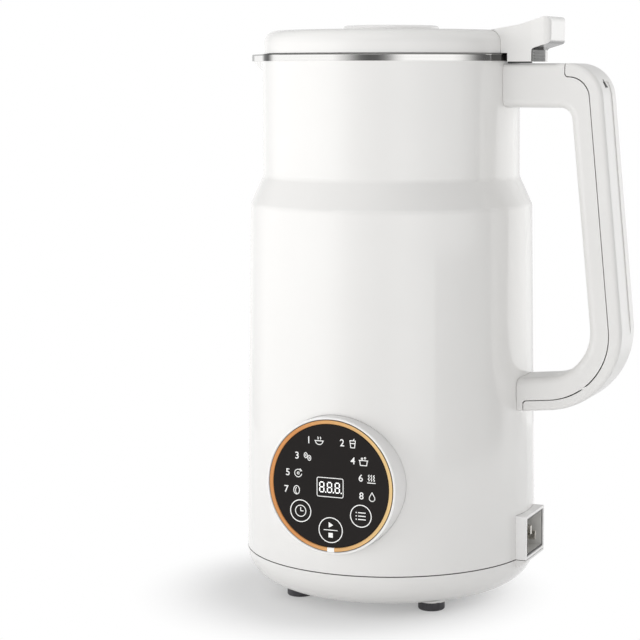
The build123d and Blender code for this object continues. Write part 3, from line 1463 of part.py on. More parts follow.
# Lid tab: the block over the handle's root and the thumb tab, shaped round the lid's edge
tail_bottom_z = handle_top_z + tail_lift
tab_top_z = lid_top_z + tab_top_rise
tab_end_z = tab_top_z - tab_end_height
with BuildPart() as lid_tab:
    with BuildSketch(Plane.XZ):
        with BuildLine():
            FilletPolyline(
                (tail_start, tail_bottom_z),
                (tail_reach, tail_bottom_z),
                (tail_reach, tail_bottom_z + tab_under_rise),
                (tab_reach, tab_end_z),
                (tab_reach, tab_top_z),
                (magnet_place, lid_top_z + tab_top_rise / 3),
                (lid_radius - lid_edge_radius, lid_top_z + running_gap),
                (lid_radius - lid_edge_radius, lid_bottom_z),
                (tail_start, lid_bottom_z),
                radius=[0, 0, tab_side_radius, tab_edge_radius, tab_edge_radius,
                        tab_back_radius, 0, 0, 0],
                close=True
            )
        make_face()
    extrude(amount=tab_half_width, both=True)
    with BuildSketch(Plane.XY.offset(tail_bottom_z)):
        with BuildLine():
            FilletPolyline(
                (lid_inner_radius - overrun, -tail_half_width), (tail_reach, -tail_half_width),
                (tab_reach, -tab_half_width), (tab_reach, tab_half_width),
                (tail_reach, tail_half_width), (lid_inner_radius - overrun, tail_half_width),
                radius=[0, 0, tab_corner_radius, tab_corner_radius, 0, 0], close=True
            )
        make_face()
    extrude(amount=tab_top_z - tail_bottom_z, mode=Mode.INTERSECT)
    with BuildSketch(Plane.XZ):
        with BuildLine():
            FilletPolyline((0, lid_bottom_z - overrun), (lid_radius + seat_gap,
                                                         lid_bottom_z - overrun),
                           (lid_radius + seat_gap, lid_top_z + seat_gap),
                           (0, lid_top_z + seat_gap),
                           radius=[0, 0, lid_edge_radius, 0], close=True)
        make_face()
    revolve(axis=Axis.Z, mode=Mode.SUBTRACT)
    with Locations((0, 0, tail_bottom_z - overrun)):
        Cylinder(tail_start, lid_bottom_z - tail_bottom_z + overrun, align=upward,
                 mode=Mode.SUBTRACT)
    with Locations((magnet_place, 0, tail_bottom_z + magnet_skin)):
        Cylinder(magnet_radius + running_gap, magnet_height + 2 * running_gap, align=upward,
                 mode=Mode.SUBTRACT)
    with BuildSketch(Plane.YZ):
        with Locations((-tab_screw_spread, tab_screw_z), (tab_screw_spread, tab_screw_z)):
            Circle(pilot_radius)
    extrude(amount=lid_radius + tab_screw_length, mode=Mode.SUBTRACT)
lid_tab.part.label = "lid_tab"
export_step(lid_tab.part, "parts/lid_tab.step")

with BuildPart() as lid_magnet:
    with Locations((magnet_place, 0, tail_bottom_z + magnet_skin + running_gap)):
        Cylinder(magnet_radius, magnet_height, align=upward)
lid_magnet.part.label = "lid_magnet"
export_step(lid_magnet.part, "parts/lid_magnet.step")

with BuildPart() as tab_screws:
    tab_head_edge = tab_screw_spread + tab_screw_head_radius
    tab_seat = sqrt(lid_inner_radius ** 2 - tab_head_edge ** 2) - seat_gap
    for side in (-1, 1):
        with BuildSketch(Plane.YZ.offset(tab_seat - screw_head_height)):
            with Locations((side * tab_screw_spread, tab_screw_z)):
                Circle(tab_screw_head_radius)
        extrude(amount=screw_head_height)
        with BuildSketch(Plane.YZ.offset(tab_seat)):
            with Locations((side * tab_screw_spread, tab_screw_z)):
                Circle(pilot_radius - running_gap)
        extrude(amount=tab_screw_length)
tab_screws.part.label = "tab_screws"
export_step(tab_screws.part, "parts/tab_screws.step")
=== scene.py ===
import math

import bmesh
import bpy
from mathutils import Matrix, Vector


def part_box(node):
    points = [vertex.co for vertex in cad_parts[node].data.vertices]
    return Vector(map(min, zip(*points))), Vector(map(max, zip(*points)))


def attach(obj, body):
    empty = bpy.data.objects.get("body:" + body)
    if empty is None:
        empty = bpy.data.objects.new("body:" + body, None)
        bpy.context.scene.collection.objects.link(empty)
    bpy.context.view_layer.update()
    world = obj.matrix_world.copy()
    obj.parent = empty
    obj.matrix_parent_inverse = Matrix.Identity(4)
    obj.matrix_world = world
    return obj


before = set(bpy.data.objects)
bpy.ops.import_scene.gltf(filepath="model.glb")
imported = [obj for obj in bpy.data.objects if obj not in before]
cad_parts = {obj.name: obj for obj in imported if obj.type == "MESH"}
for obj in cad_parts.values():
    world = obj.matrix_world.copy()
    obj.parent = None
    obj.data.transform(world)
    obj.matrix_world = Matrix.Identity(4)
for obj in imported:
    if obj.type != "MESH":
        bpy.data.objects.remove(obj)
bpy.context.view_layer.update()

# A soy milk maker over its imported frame: finishes, the printed control face and the marks in
# the jug. Blender works in metres; the sizes below are in millimetres and are turned by MM.
MM = 0.001

# Height of the middle of the control pod, which its ring goes round
pod_height = 62.0


# Colours and shader nodes

def linear(code):
    """Linear RGBA of a six-digit sRGB hex value."""
    parts = [int(code[at:at + 2], 16) / 255 for at in (0, 2, 4)]
    return [part / 12.92 if part <= 0.04045 else ((part + 0.055) / 1.055) ** 2.4
            for part in parts] + [1.0]


def grey(level):
    """Linear RGBA of a grey."""
    return (level, level, level, 1)


def add(tree, kind, inputs=None, **settings):
    """Adds a shader node, with its settings and with values or links on its sockets."""
    made = tree.nodes.new("ShaderNode" + kind)
    for name, value in settings.items():
        setattr(made, name, value)
    for socket, value in (inputs or {}).items():
        if isinstance(value, bpy.types.NodeSocket):
            tree.links.new(value, made.inputs[socket])
        else:
            made.inputs[socket].default_value = value
    return made


def material(name, **constants):
    """A material whose Principled shader holds the constants, with its tree and shader."""
    made = bpy.data.materials.new(name)
    made.use_nodes = True
    shader = made.node_tree.nodes["Principled BSDF"]
    for socket, value in constants.items():
        shader.inputs[socket.replace("_", " ")].default_value = value
    return made, made.node_tree, shader


def per(size):
    """Texture scale whose pattern repeats every size millimetres."""
    return 1 / (size * MM)


def bands_per(size, diagonal=False):
    """Scale of a wave texture whose bands lie size millimetres apart: the texture counts 20
    radians for each unit along an axis, and 10 for each unit of the sum along the diagonal."""
    return per(size) * math.tau / (10 * math.sqrt(3) if diagonal else 20)


def axis(tree, name, kind="Object"):
    """One of a point's object coordinates, in metres, or one part of its normal."""
    point = add(tree, "TexCoord").outputs[kind]
    return add(tree, "SeparateXYZ", {"Vector": point}).outputs[name]


def blotches(tree, size, detail=2.0, vector=None):
    """A value that wanders in blotches about size millimetres across on the piece, or on a
    vector of its own."""
    where = vector or add(tree, "TexCoord").outputs["Object"]
    return add(tree, "TexNoise", {"Vector": where, "Scale": per(size), "Detail": detail}
               ).outputs["Fac"]


def between(tree, value, low, high):
    """One where a value lies between two limits, and nothing elsewhere."""
    over = add(tree, "Math", {0: value, 1: low}, operation="GREATER_THAN").outputs["Value"]
    under = add(tree, "Math", {0: value, 1: high}, operation="LESS_THAN").outputs["Value"]
    return add(tree, "Math", {0: over, 1: under}, operation="MULTIPLY").outputs["Value"]


def tint(tree, shader, value, dark, light):
    """Colours the shader between two sRGB values."""
    mixed = add(tree, "Mix", {"Factor": value, 6: linear(dark), 7: linear(light)},
                data_type="RGBA")
    tree.links.new(mixed.outputs[2], shader.inputs["Base Color"])


def overlay(tree, shader, factor, code):
    """Paints an sRGB colour over the base colour by a factor."""
    under = shader.inputs["Base Color"].links[0].from_socket
    mixed = add(tree, "Mix", {"Factor": factor, 6: under, 7: linear(code)}, data_type="RGBA")
    tree.links.new(mixed.outputs[2], shader.inputs["Base Color"])


# Range in which nearly all values of a noise lie
noise_low, noise_high = 0.3, 0.7


def rough(tree, shader, value, low, high):
    """Lets the roughness run from low to high over the usual range of a noise value."""
    made = add(tree, "MapRange", {"Value": value, "From Min": noise_low, "From Max": noise_high,
                                  "To Min": low, "To Max": high})
    tree.links.new(made.outputs["Result"], shader.inputs["Roughness"])


def bump(tree, shader, value, depth):
    """Raises the surface by depth millimetres where the value is high."""
    made = add(tree, "Bump", {"Height": value, "Distance": depth * MM, "Strength": 1.0})
    tree.links.new(made.outputs["Normal"], shader.inputs["Normal"])


def turned(tree, centre=(0, 0, 0), tilt=0.0):
    """Coordinates (radius, height, angle) round an upright axis, or round Y with a quarter tilt."""
    moved = add(tree, "Mapping", {"Vector": add(tree, "TexCoord").outputs["Object"],
                                  "Location": [-part * MM for part in centre]})
    tilted = add(tree, "Mapping", {"Vector": moved.outputs["Vector"], "Rotation": (tilt, 0, 0)})
    apart = add(tree, "SeparateXYZ", {"Vector": tilted.outputs["Vector"]})
    flat = add(tree, "CombineXYZ", {"X": apart.outputs["X"], "Y": apart.outputs["Y"]})
    radius = add(tree, "VectorMath", {0: flat.outputs["Vector"]}, operation="LENGTH")
    angle = add(tree, "Math", {0: apart.outputs["Y"], 1: apart.outputs["X"]}, operation="ARCTAN2")
    return radius.outputs["Value"], apart.outputs["Z"], angle.outputs["Value"]


def ring_lines(tree, around, pitch, drift):
    """Fine rings that a turning or brushing tool leaves, pitch millimetres apart, which change
    slowly on their way round: drift millimetres of the pattern for each radian."""
    radius, height, angle = around
    slow = add(tree, "Math", {0: angle, 1: drift * MM}, operation="MULTIPLY")
    along = add(tree, "CombineXYZ", {"X": radius, "Y": height, "Z": slow.outputs["Value"]})
    return blotches(tree, pitch, 3.0, along.outputs["Vector"])


# Finishes

# The parting line over the base cover is drawn by painted shade, as in its gap, and the undersides
# of the tail block lie in a painted shade that the studio's pale floor would fill
seam_gap_shade, deep_shade = "9C9B98", "4A4A49"
shade_from, shade_full = -0.2, -0.6


def gloss_plastic(name, dark, light, roughness, coat=0.25, seam=None, dark_below=False):
    """Moulded plastic with a gloss: a soft ripple in its reflections and a faint cloudiness.
    Between two seam heights, in millimetres, and maybe underneath, it has painted shade."""
    made, tree, shader = material(name, IOR=1.53, Coat_Weight=coat, Coat_Roughness=0.06)
    tint(tree, shader, blotches(tree, 38.0), dark, light)
    if seam:
        at_seam = between(tree, axis(tree, "Z"), seam[0] * MM, seam[1] * MM)
        # Painted shade along the parting line, where its gap lies
        overlay(tree, shader, at_seam, seam_gap_shade)
    if dark_below:
        below = add(tree, "MapRange", {"Value": axis(tree, "Z", "Normal"),
                                       "From Min": shade_from, "From Max": shade_full})
        overlay(tree, shader, below.outputs["Result"], deep_shade)
    rough(tree, shader, blotches(tree, 9.0), roughness - 0.012, roughness + 0.012)
    bump(tree, shader, blotches(tree, 7.0, 1.0), 0.004)
    return made


def grained_plastic(name, dark, light, roughness, grain, depth, gap_shade_x=None):
    """Moulded plastic with a spark-eroded grain, which scatters the light evenly. Beyond an X given
    in millimetres, it is painted black, as the shade in a gap."""
    made, tree, shader = material(name, IOR=1.5)
    tint(tree, shader, blotches(tree, 20.0), dark, light)
    if gap_shade_x:
        # Painted shade: black beyond that X, at the socket's gap
        overlay(tree, shader, between(tree, axis(tree, "X"), gap_shade_x * MM, 1.0), "1C1C1C")
    rough(tree, shader, blotches(tree, 4.0), roughness - 0.05, roughness + 0.05)
    bump(tree, shader, blotches(tree, grain, 3.0), depth)
    return made


def turned_metal(name, dark, light, low, high, pitch, depth):
    """Metal with rings round its axis, which pull highlights into fans across them."""
    made, tree, shader = material(name, Metallic=1.0, Anisotropic=0.45)
    rings = ring_lines(tree, turned(tree), pitch, drift=0.6 * pitch)
    tint(tree, shader, rings, dark, light)
    rough(tree, shader, rings, low, high)
    bump(tree, shader, rings, depth)
    return made


def cast_metal(name, dark, light, roughness, grain, depth):
    """Cast or plated metal with an even fine skin."""
    made, tree, shader = material(name, Metallic=1.0)
    tint(tree, shader, blotches(tree, 11.0), dark, light)
    rough(tree, shader, blotches(tree, 3.0), roughness - 0.06, roughness + 0.06)
    bump(tree, shader, blotches(tree, grain, 4.0), depth)
    return made


# The jug's rim. Heights between which brushing gives way to polish; X beyond which the rim, in the
# gap beside the tail block, has painted shade, and X of the lip's root; bands below the rim's top
# that hold a painted shade line and, on the lip, a painted dark reflection.
polish_from, polish_full = 246.4, 247.0
rim_gap_shade_x, lip_root_x = 55.9, -45.5
edge_shade_band, crest_reflection_band = (0.42, 0.1), (0.75, 0.06)
# The lip's nose is what lies furthest to the left or right in the photograph, on side faces
picture_right = (0.929, 0.369, 0)
nose_from, nose_to = 64.05, 80.0
side_facing = (-0.6, 0.8)
# Heading of the painted dark reflection on the rim from the jug's axis, and how far it reaches
# to each side, in degrees
dark_reflection_heading, dark_reflection_core, dark_reflection_end = -138.6, 2.0, 9.5


def paint_rim_shade_and_reflections(tree, shader, height):
    """Paints shade on the rim in the gap beside the tail block and along its top edge, and dark
    reflections at the crest and the nose of the pouring lip."""
    low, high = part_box("steel_jug")
    across = axis(tree, "X")
    # Painted shade in the gap beside the tail block
    overlay(tree, shader, between(tree, across, rim_gap_shade_x * MM, high.x + MM), "565655")
    edge, crest = [between(tree, height, high.z - band[0] * MM, high.z - band[1] * MM)
                   for band in (edge_shade_band, crest_reflection_band)]
    # Painted shade line along the rim's top edge
    overlay(tree, shader, edge, "888886")
    lip = between(tree, across, low.x - MM, lip_root_x * MM)
    crest_of_lip = add(tree, "Math", {0: crest, 1: lip}, operation="MULTIPLY")
    # Painted dark reflection along the crest of the lip
    overlay(tree, shader, crest_of_lip.outputs["Value"], "62625F")
    folded = add(tree, "VectorMath", {0: add(tree, "TexCoord").outputs["Object"]},
                 operation="ABSOLUTE")
    reach = add(tree, "VectorMath", {0: folded.outputs["Vector"], 1: picture_right},
                operation="DOT_PRODUCT")
    nose = between(tree, reach.outputs["Value"], nose_from * MM, nose_to * MM)
    nose_of_lip = add(tree, "Math", {0: nose, 1: lip}, operation="MULTIPLY")
    facing = between(tree, axis(tree, "Z", "Normal"), *side_facing)
    nose_side = add(tree, "Math", {0: nose_of_lip.outputs["Value"], 1: facing},
                    operation="MULTIPLY")
    # Painted dark reflection at the nose of the lip, on its side faces
    overlay(tree, shader, nose_side.outputs["Value"], "5C5C5A")


def paint_rim_reflection(tree, shader, angle, polish):
    """Paints a dark reflection on the polished rim round one heading, less and less to both sides.
    """
    away = add(tree, "Math", {0: angle, 1: math.radians(dark_reflection_heading)}, operation="SUBTRACT")
    turn = add(tree, "Math", {0: away.outputs["Value"]}, operation="ABSOLUTE")
    dark_reflection = add(tree, "MapRange", {"Value": turn.outputs["Value"], "To Min": 1.0, "To Max": 0.0,
                                   "From Min": math.radians(dark_reflection_core),
                                   "From Max": math.radians(dark_reflection_end)},
                interpolation_type="SMOOTHSTEP")
    painted_reflection = add(tree, "Math", {0: dark_reflection.outputs["Result"], 1: polish}, operation="MULTIPLY")
    overlay(tree, shader, painted_reflection.outputs["Value"], "242423")


def jug_steel():
    """Deep-drawn stainless steel: ring-brushed inside, with a polished rolled rim that mirrors
    the studio, with painted shade and painted dark reflections at some places."""
    made, tree, shader = material("deep_drawn_stainless_steel", Metallic=1.0)
    around = turned(tree)
    height, angle = around[1:]
    rings = ring_lines(tree, around, pitch=0.9, drift=0.5)
    polish = add(tree, "MapRange", {"Value": height, "From Min": polish_from * MM,
                                    "From Max": polish_full * MM}).outputs["Result"]
    tint(tree, shader, rings, "E4E3E1", "F0EFED")
    paint_rim_shade_and_reflections(tree, shader, height)
    paint_rim_reflection(tree, shader, angle, polish)
    rough(tree, shader, rings, 0.22, 0.4)
    brushed = shader.inputs["Roughness"].links[0].from_socket
    worn = add(tree, "Mix", {0: polish, 2: brushed, 3: 0.1})
    tree.links.new(worn.outputs[0], shader.inputs["Roughness"])
    still = add(tree, "Math", {0: 1.0, 1: polish}, operation="SUBTRACT")
    relief = add(tree, "Math", {0: rings, 1: still.outputs["Value"]}, operation="MULTIPLY")
    bump(tree, shader, relief.outputs["Value"], 0.02)
    return made


def laminated_steel():
    """Electrical steel sheets in a stack, drawn 1 mm apart so that their edges show."""
    made, tree, shader = material("laminated_electrical_steel", Metallic=1.0)
    bands = add(tree, "TexWave", {"Vector": add(tree, "TexCoord").outputs["Object"],
                                  "Scale": bands_per(1.0), "Distortion": 0.2},
                bands_direction="Z")
    tint(tree, shader, bands.outputs["Fac"], "5B5C5E", "8C8D8F")
    rough(tree, shader, blotches(tree, 2.0), 0.4, 0.6)
    bump(tree, shader, bands.outputs["Fac"], 0.1)
    return made


def wound_wire():
    """Enamelled copper wire laid in turns, drawn 0.8 mm apart: shiny, with a dark line between."""
    made, tree, shader = material("enamelled_copper_wire", Metallic=1.0)
    coils_height = 45.0
    moved = add(tree, "Mapping", {"Vector": add(tree, "TexCoord").outputs["Object"],
                                  "Location": (0, 0, -coils_height * MM)}).outputs["Vector"]
    turns = add(tree, "TexWave", {"Vector": moved, "Scale": bands_per(0.8, True),
                                  "Distortion": 0.4}, bands_direction="DIAGONAL")
    tint(tree, shader, turns.outputs["Fac"], "8A4A22", "C8783F")
    rough(tree, shader, blotches(tree, 3.0, vector=moved), 0.22, 0.36)
    bump(tree, shader, turns.outputs["Fac"], 0.2)
    return made


def tinted_glass():
    """Toughened glass with a black printed back: dark brown-black, and clean reflections."""
    made, tree, shader = material("black_backed_toughened_glass", IOR=1.5,
                                  Specular_IOR_Level=0.16)
    tint(tree, shader, blotches(tree, 30.0), "1B1817", "211D1C")
    rough(tree, shader, blotches(tree, 12.0), 0.07, 0.13)
    bump(tree, shader, blotches(tree, 25.0, 1.0), 0.006)
    return made


def copper_ring():
    """Copper-coloured anodised aluminium: satin, ring-brushed, orange, with a painted highlight
    that turns one side golden, and with a dark line where its outer edge meets the pod."""
    made, tree, shader = material("copper_anodised_aluminium", Metallic=0.55, Anisotropic=0.3)
    orange_x, highlight_x, edge_line = -16, 27, 0.22
    around = turned(tree, (0, 0, pod_height), math.radians(90))
    rings = ring_lines(tree, around, pitch=0.3, drift=0.4)
    # Painted highlight: the ring turns golden towards its lit side
    painted_highlight = add(tree, "MapRange", {"Value": axis(tree, "X"), "From Min": orange_x * MM,
                                    "From Max": highlight_x * MM})
    tint(tree, shader, painted_highlight.outputs["Result"], "DE9A5E", "F2CF92")
    low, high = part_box("accent_ring")
    outer = (high.x - low.x) / 2
    overlay(tree, shader, between(tree, around[0], outer - edge_line * MM, outer + MM), "5A4636")
    rough(tree, shader, rings, 0.3, 0.42)
    bump(tree, shader, rings, 0.01)
    return made


def lit(name, strength):
    """A frosted white window or printed segment with light behind it."""
    made, tree, shader = material(name, Emission_Color=linear("FFFFFF"),
                                  Emission_Strength=strength)
    tint(tree, shader, blotches(tree, 1.5), "E6E6E4", "F4F4F2")
    rough(tree, shader, blotches(tree, 2.0), 0.3, 0.4)
    bump(tree, shader, blotches(tree, 0.4, 1.0), 0.01)
    return made


def circuit_board():
    """Glass epoxy board under green solder mask, with paler tracks that run under the mask."""
    made, tree, shader = material("green_glass_epoxy_board", IOR=1.52)
    tracks = add(tree, "TexBrick", {"Vector": add(tree, "TexCoord").outputs["Object"],
                                    "Scale": per(6.0), "Mortar Size": 0.05,
                                    "Color1": linear("0F5A31"), "Color2": linear("146A3B"),
                                    "Mortar": linear("2F8C52")}, offset=0.37)
    tree.links.new(tracks.outputs["Color"], shader.inputs["Base Color"])
    rough(tree, shader, blotches(tree, 3.0), 0.25, 0.4)
    bump(tree, shader, tracks.outputs["Fac"], 0.05)
    return made


def rubber(name, dark, light, translucent=0.0):
    """Moulded rubber or silicone: dull, faintly dusty, with a fine grain."""
    made, tree, shader = material(name, IOR=1.45, Subsurface_Weight=translucent,
                                  Subsurface_Scale=1.5 * MM, Sheen_Weight=0.15)
    tint(tree, shader, blotches(tree, 3.5, 4.0), dark, light)
    rough(tree, shader, blotches(tree, 2.0), 0.5, 0.72)
    bump(tree, shader, blotches(tree, 0.5, 3.0), 0.04)
    return made


def braided_sleeve():
    """Silicone-coated glass braid: brick red, with a small cross-woven relief."""
    made, tree, shader = material("braided_glass_fibre_sleeve", IOR=1.46)
    weave = add(tree, "TexWave", {"Vector": add(tree, "TexCoord").outputs["Object"],
                                  "Scale": bands_per(1.2, True), "Distortion": 1.5,
                                  "Detail Scale": 2.0}, bands_direction="DIAGONAL")
    tint(tree, shader, weave.outputs["Fac"], "7E241C", "A23A2C")
    rough(tree, shader, blotches(tree, 2.0), 0.5, 0.7)
    bump(tree, shader, weave.outputs["Fac"], 0.12)
    return made


# Heights of the parting line over the base cover, and how far behind its front edge the inlet's
# socket turns from a painted black, for the shade in its gap, to grey
seam_heights, socket_shade_edge = (20.98, 21.47), 0.06

# Moulded ABS: near-white and opaque, with a gloss that shows the studio softly. The body's is the
# most polished, the handle's is a satin that hides finger marks.
white_casing = gloss_plastic("gloss_white_abs", "EBEAE8", "EFEEEC", 0.2)
white_tab = gloss_plastic("gloss_white_tab_abs", "EBEAE8", "EFEEEC", 0.2, dark_below=True)
white_seam = gloss_plastic("gloss_white_abs_with_seam", "ECEBE9", "F0EFED", 0.11,
                           seam=seam_heights)
# The trim's white is lighter than the body's: painted light on the pod, the shroud and the vent cap
lit_white_trim = gloss_plastic("gloss_white_trim_abs", "F5F4F3", "F9F8F7", 0.18)
# The handle's white is darker than the body's: painted shade on the handle
shaded_white_handle = gloss_plastic("satin_white_abs", "E4E3E1", "E9E8E6", 0.3, coat=0.1)
# Other mouldings: dull, with a fine grain that keeps them even from every side
white_inner = grained_plastic("white_polypropylene", "E4E3E0", "EAE9E6", 0.42, 0.7, 0.02)
socket_grey = grained_plastic("grey_glass_filled_nylon", "D6D5D2", "DEDDDA", 0.4, 0.5, 0.03,
                              gap_shade_x=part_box("inlet_socket")[1].x / MM - socket_shade_edge)
catch_grey = grained_plastic("grey_nylon", "7E7E7C", "888886", 0.45, 0.5, 0.03)
black_nylon = grained_plastic("black_nylon", "151515", "1E1E1E", 0.45, 0.5, 0.03)
foot_rubber = rubber("dark_grey_rubber", "38373A", "47464A")
silicone = rubber("white_silicone", "D4D3CF", "DDDCD8", translucent=0.2)
# Metals: brushed or turned ones streak their highlights, plated and cast ones are even
jug_finish = jug_steel()
turned_steel = turned_metal("turned_stainless_steel", "A8A7A5", "C6C5C2", 0.2, 0.36, 0.5, 0.015)
blade_steel = turned_metal("ground_blade_steel", "B5B5B6", "D2D2D2", 0.16, 0.3, 0.35, 0.01)
pin_nickel = cast_metal("nickel_plated_brass", "C9C6BF", "DAD7D0", 0.24, 0.8, 0.01)
cast_aluminium = cast_metal("die_cast_aluminium", "A3A4A6", "B8B9BB", 0.42, 0.6, 0.05)
magnet_finish = cast_metal("nickel_plated_magnet", "9A9A9C", "B0B0B2", 0.3, 1.0, 0.01)
stack_finish = laminated_steel()
copper_wire = wound_wire()
# The board's tracks show under its mask, the glass is near black, and the ring is satin copper
board_finish = circuit_board()
glass_finish = tinted_glass()
ring_finish = copper_ring()
# Light from behind keeps the lens and the print whiter than the glass around them
lens_finish = lit("frosted_light_lens", 0.2)
print_finish = lit("white_screen_print", 0.18)
digit_finish = lit("lit_display_segments", 0.55)
sleeve_finish = braided_sleeve()
mark_finish = grained_plastic("etched_scale_mark", "4A4A49", "565655", 0.55, 0.4, 0.01)

finishes = {
    white_casing: ["lid_shell"],
    white_tab: ["lid_tab"],
    lit_white_trim: ["pod_housing", "inlet_shroud", "vent_cap"],
    white_seam: ["body_shell", "base_cover"],
    shaded_white_handle: ["handle_frame", "handle_cover"],
    white_inner: ["lid_liner", "probe_collar"],
    socket_grey: ["inlet_socket"],
    black_nylon: ["display_module", "brush_holders", "carbon_brushes", "cooling_fan",
                  "power_components", "reed_switch"],
    foot_rubber: ["rubber_feet", "carrier_grommets"],
    silicone: ["lid_seal", "housing_gasket", "shaft_seals", "touch_pads"],
    jug_finish: ["steel_jug"],
    turned_steel: ["shaft_housing", "housing_nut", "jug_studs", "carrier_nuts", "motor_shaft",
                   "ball_bearings", "base_screws", "handle_screws", "lid_screws", "tab_screws",
                   "motor_screws", "overflow_probe", "temperature_sensor"],
    blade_steel: ["lower_blade", "upper_blade", "blade_hub", "blade_nut"],
    pin_nickel: ["inlet_pins"],
    cast_aluminium: ["heater_plate", "heater_ring", "motor_carrier", "motor_end_frame"],
    magnet_finish: ["lid_magnet"],
    stack_finish: ["stator_core", "armature_core"],
    copper_wire: ["field_coils", "armature_windings", "commutator"],
    board_finish: ["power_board", "control_board"],
    glass_finish: ["touch_glass"],
    ring_finish: ["accent_ring"],
    lens_finish: ["indicator_lens"],
    sleeve_finish: ["mains_leads"],
}
for finish, names in finishes.items():
    for name in names:
        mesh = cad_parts[name].data
        mesh.materials.clear()
        mesh.materials.append(finish)


# New pieces. The flat ones are drawn in millimetres on XY, with Y as the height, and then stood
# on the glass or bent round the jug's wall.

glass_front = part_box("touch_glass")[0].y
print_depth, print_line, sign_line = 0.03, 0.42, 0.36
number_weight, merge_distance = 0.012, 0.001


def piece(name, shape, finish, body):
    """Makes an object at the origin from a bmesh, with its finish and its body."""
    mesh = bpy.data.meshes.new(name)
    shape.to_mesh(mesh)
    shape.free()
    made = bpy.data.objects.new(name, mesh)
    bpy.context.scene.collection.objects.link(made)
    mesh.materials.append(finish)
    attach(made, body)
    return made


def on_glass(shape):
    """Stands a flat drawing on the front of the touch glass."""
    to_front = Matrix.Translation((0, glass_front, 0)) @ Matrix.Rotation(math.radians(90), 4, "X")
    bmesh.ops.transform(shape, matrix=to_front @ Matrix.Scale(MM, 4), verts=shape.verts)
    return shape


def thicken(shape, faces, rise=(0, 0, print_depth)):
    """Gives flat faces a thickness: that of the print, unless another rise is given."""
    raised = bmesh.ops.extrude_face_region(shape, geom=faces)["geom"]
    bmesh.ops.translate(shape, vec=rise,
                        verts=[part for part in raised if isinstance(part, bmesh.types.BMVert)])
    bmesh.ops.recalc_face_normals(shape, faces=shape.faces)


def block(shape, centre, size, turn=0.0):
    """Adds a block of a size, turned round the upright line through its middle."""
    made = bmesh.ops.create_cube(shape, size=1.0)["verts"]
    bmesh.ops.scale(shape, vec=size, verts=made)
    bmesh.ops.rotate(shape, matrix=Matrix.Rotation(turn, 3, "Z"), verts=made)
    bmesh.ops.translate(shape, vec=centre, verts=made)


def bar(shape, centre, size, turn=0.0, thickness=print_depth):
    """Adds a thin bar to a flat drawing, turned in its plane."""
    block(shape, (*centre, thickness / 2), (*size, thickness), turn)


def ring(shape, centre, radius, line=print_line, steps=64):
    """Adds a thin ring with its outer edge at the radius."""
    section = shape.faces.new([shape.verts.new((radius - step, 0, rise)) for step, rise in (
        (0, 0), (line, 0), (line, print_depth), (0, print_depth))])
    edges = list(section.edges)
    bmesh.ops.delete(shape, geom=[section], context="FACES_ONLY")
    bmesh.ops.spin(shape, geom=edges, axis=(0, 0, 1), cent=(0, 0, 0), angle=math.tau,
                   steps=steps, use_merge=True)
    made = {vert for part in shape.faces if not part.tag for vert in part.verts}
    for part in shape.faces:
        part.tag = True
    bmesh.ops.translate(shape, vec=(*centre, 0), verts=list(made))


def lettering(text, size):
    """A bmesh of a plain number, centred on the origin, as thick as the print and drawn a little
    bolder than its font, by a share of its size."""
    curve = bpy.data.curves.new("lettering", "FONT")
    curve.body = text
    curve.size = size
    curve.align_x, curve.align_y = "CENTER", "CENTER"
    curve.offset = number_weight * size
    writer = bpy.data.objects.new("lettering", curve)
    flat = bpy.data.meshes.new_from_object(writer)
    shape = bmesh.new()
    shape.from_mesh(flat)
    bpy.data.objects.remove(writer)
    bpy.data.curves.remove(curve)
    bpy.data.meshes.remove(flat)
    bmesh.ops.remove_doubles(shape, verts=shape.verts, dist=merge_distance)
    thicken(shape, list(shape.faces))
    return shape


def join(target, source, offset):
    """Copies one drawing into another at an offset in the plane, and frees the first."""
    bmesh.ops.translate(source, vec=(*offset, 0), verts=source.verts)
    carrier = bpy.data.meshes.new("carrier")
    source.to_mesh(carrier)
    source.free()
    target.from_mesh(carrier)
    bpy.data.meshes.remove(carrier)


# Programme numbers in two fans, where the labels of such a control face stand
programme_places = [(-7.8, 81.8), (8.1, 81.6), (-13.5, 74.5), (13.2, 74.0),
                    (-18.0, 66.7), (16.9, 66.6), (-18.8, 59.1), (17.2, 58.7)]
number_size, sign_shift = 4.4, 2.5
numbers = bmesh.new()
for index, (x, y) in enumerate(programme_places):
    join(numbers, lettering(str(index + 1), number_size), (x - sign_shift, y))
piece("programme_numbers", on_glass(numbers), print_finish, "base")


def arc(centre, radii, first, last, steps=12):
    """Points along part of an ellipse, between two angles in degrees."""
    angles = [math.radians(first + (last - first) * step / steps) for step in range(steps + 1)]
    return [(centre[0] + radii[0] * math.cos(angle), centre[1] + radii[1] * math.sin(angle))
            for angle in angles]


def stroke(shape, points, at):
    """Draws a line of constant width through points that are given from a place."""
    for (ax, ay), (bx, by) in zip(points, points[1:]):
        length = math.hypot(bx - ax, by - ay)
        bar(shape, (at[0] + (ax + bx) / 2, at[1] + (ay + by) / 2),
            (length + sign_line / 2, sign_line), math.atan2(by - ay, bx - ax))


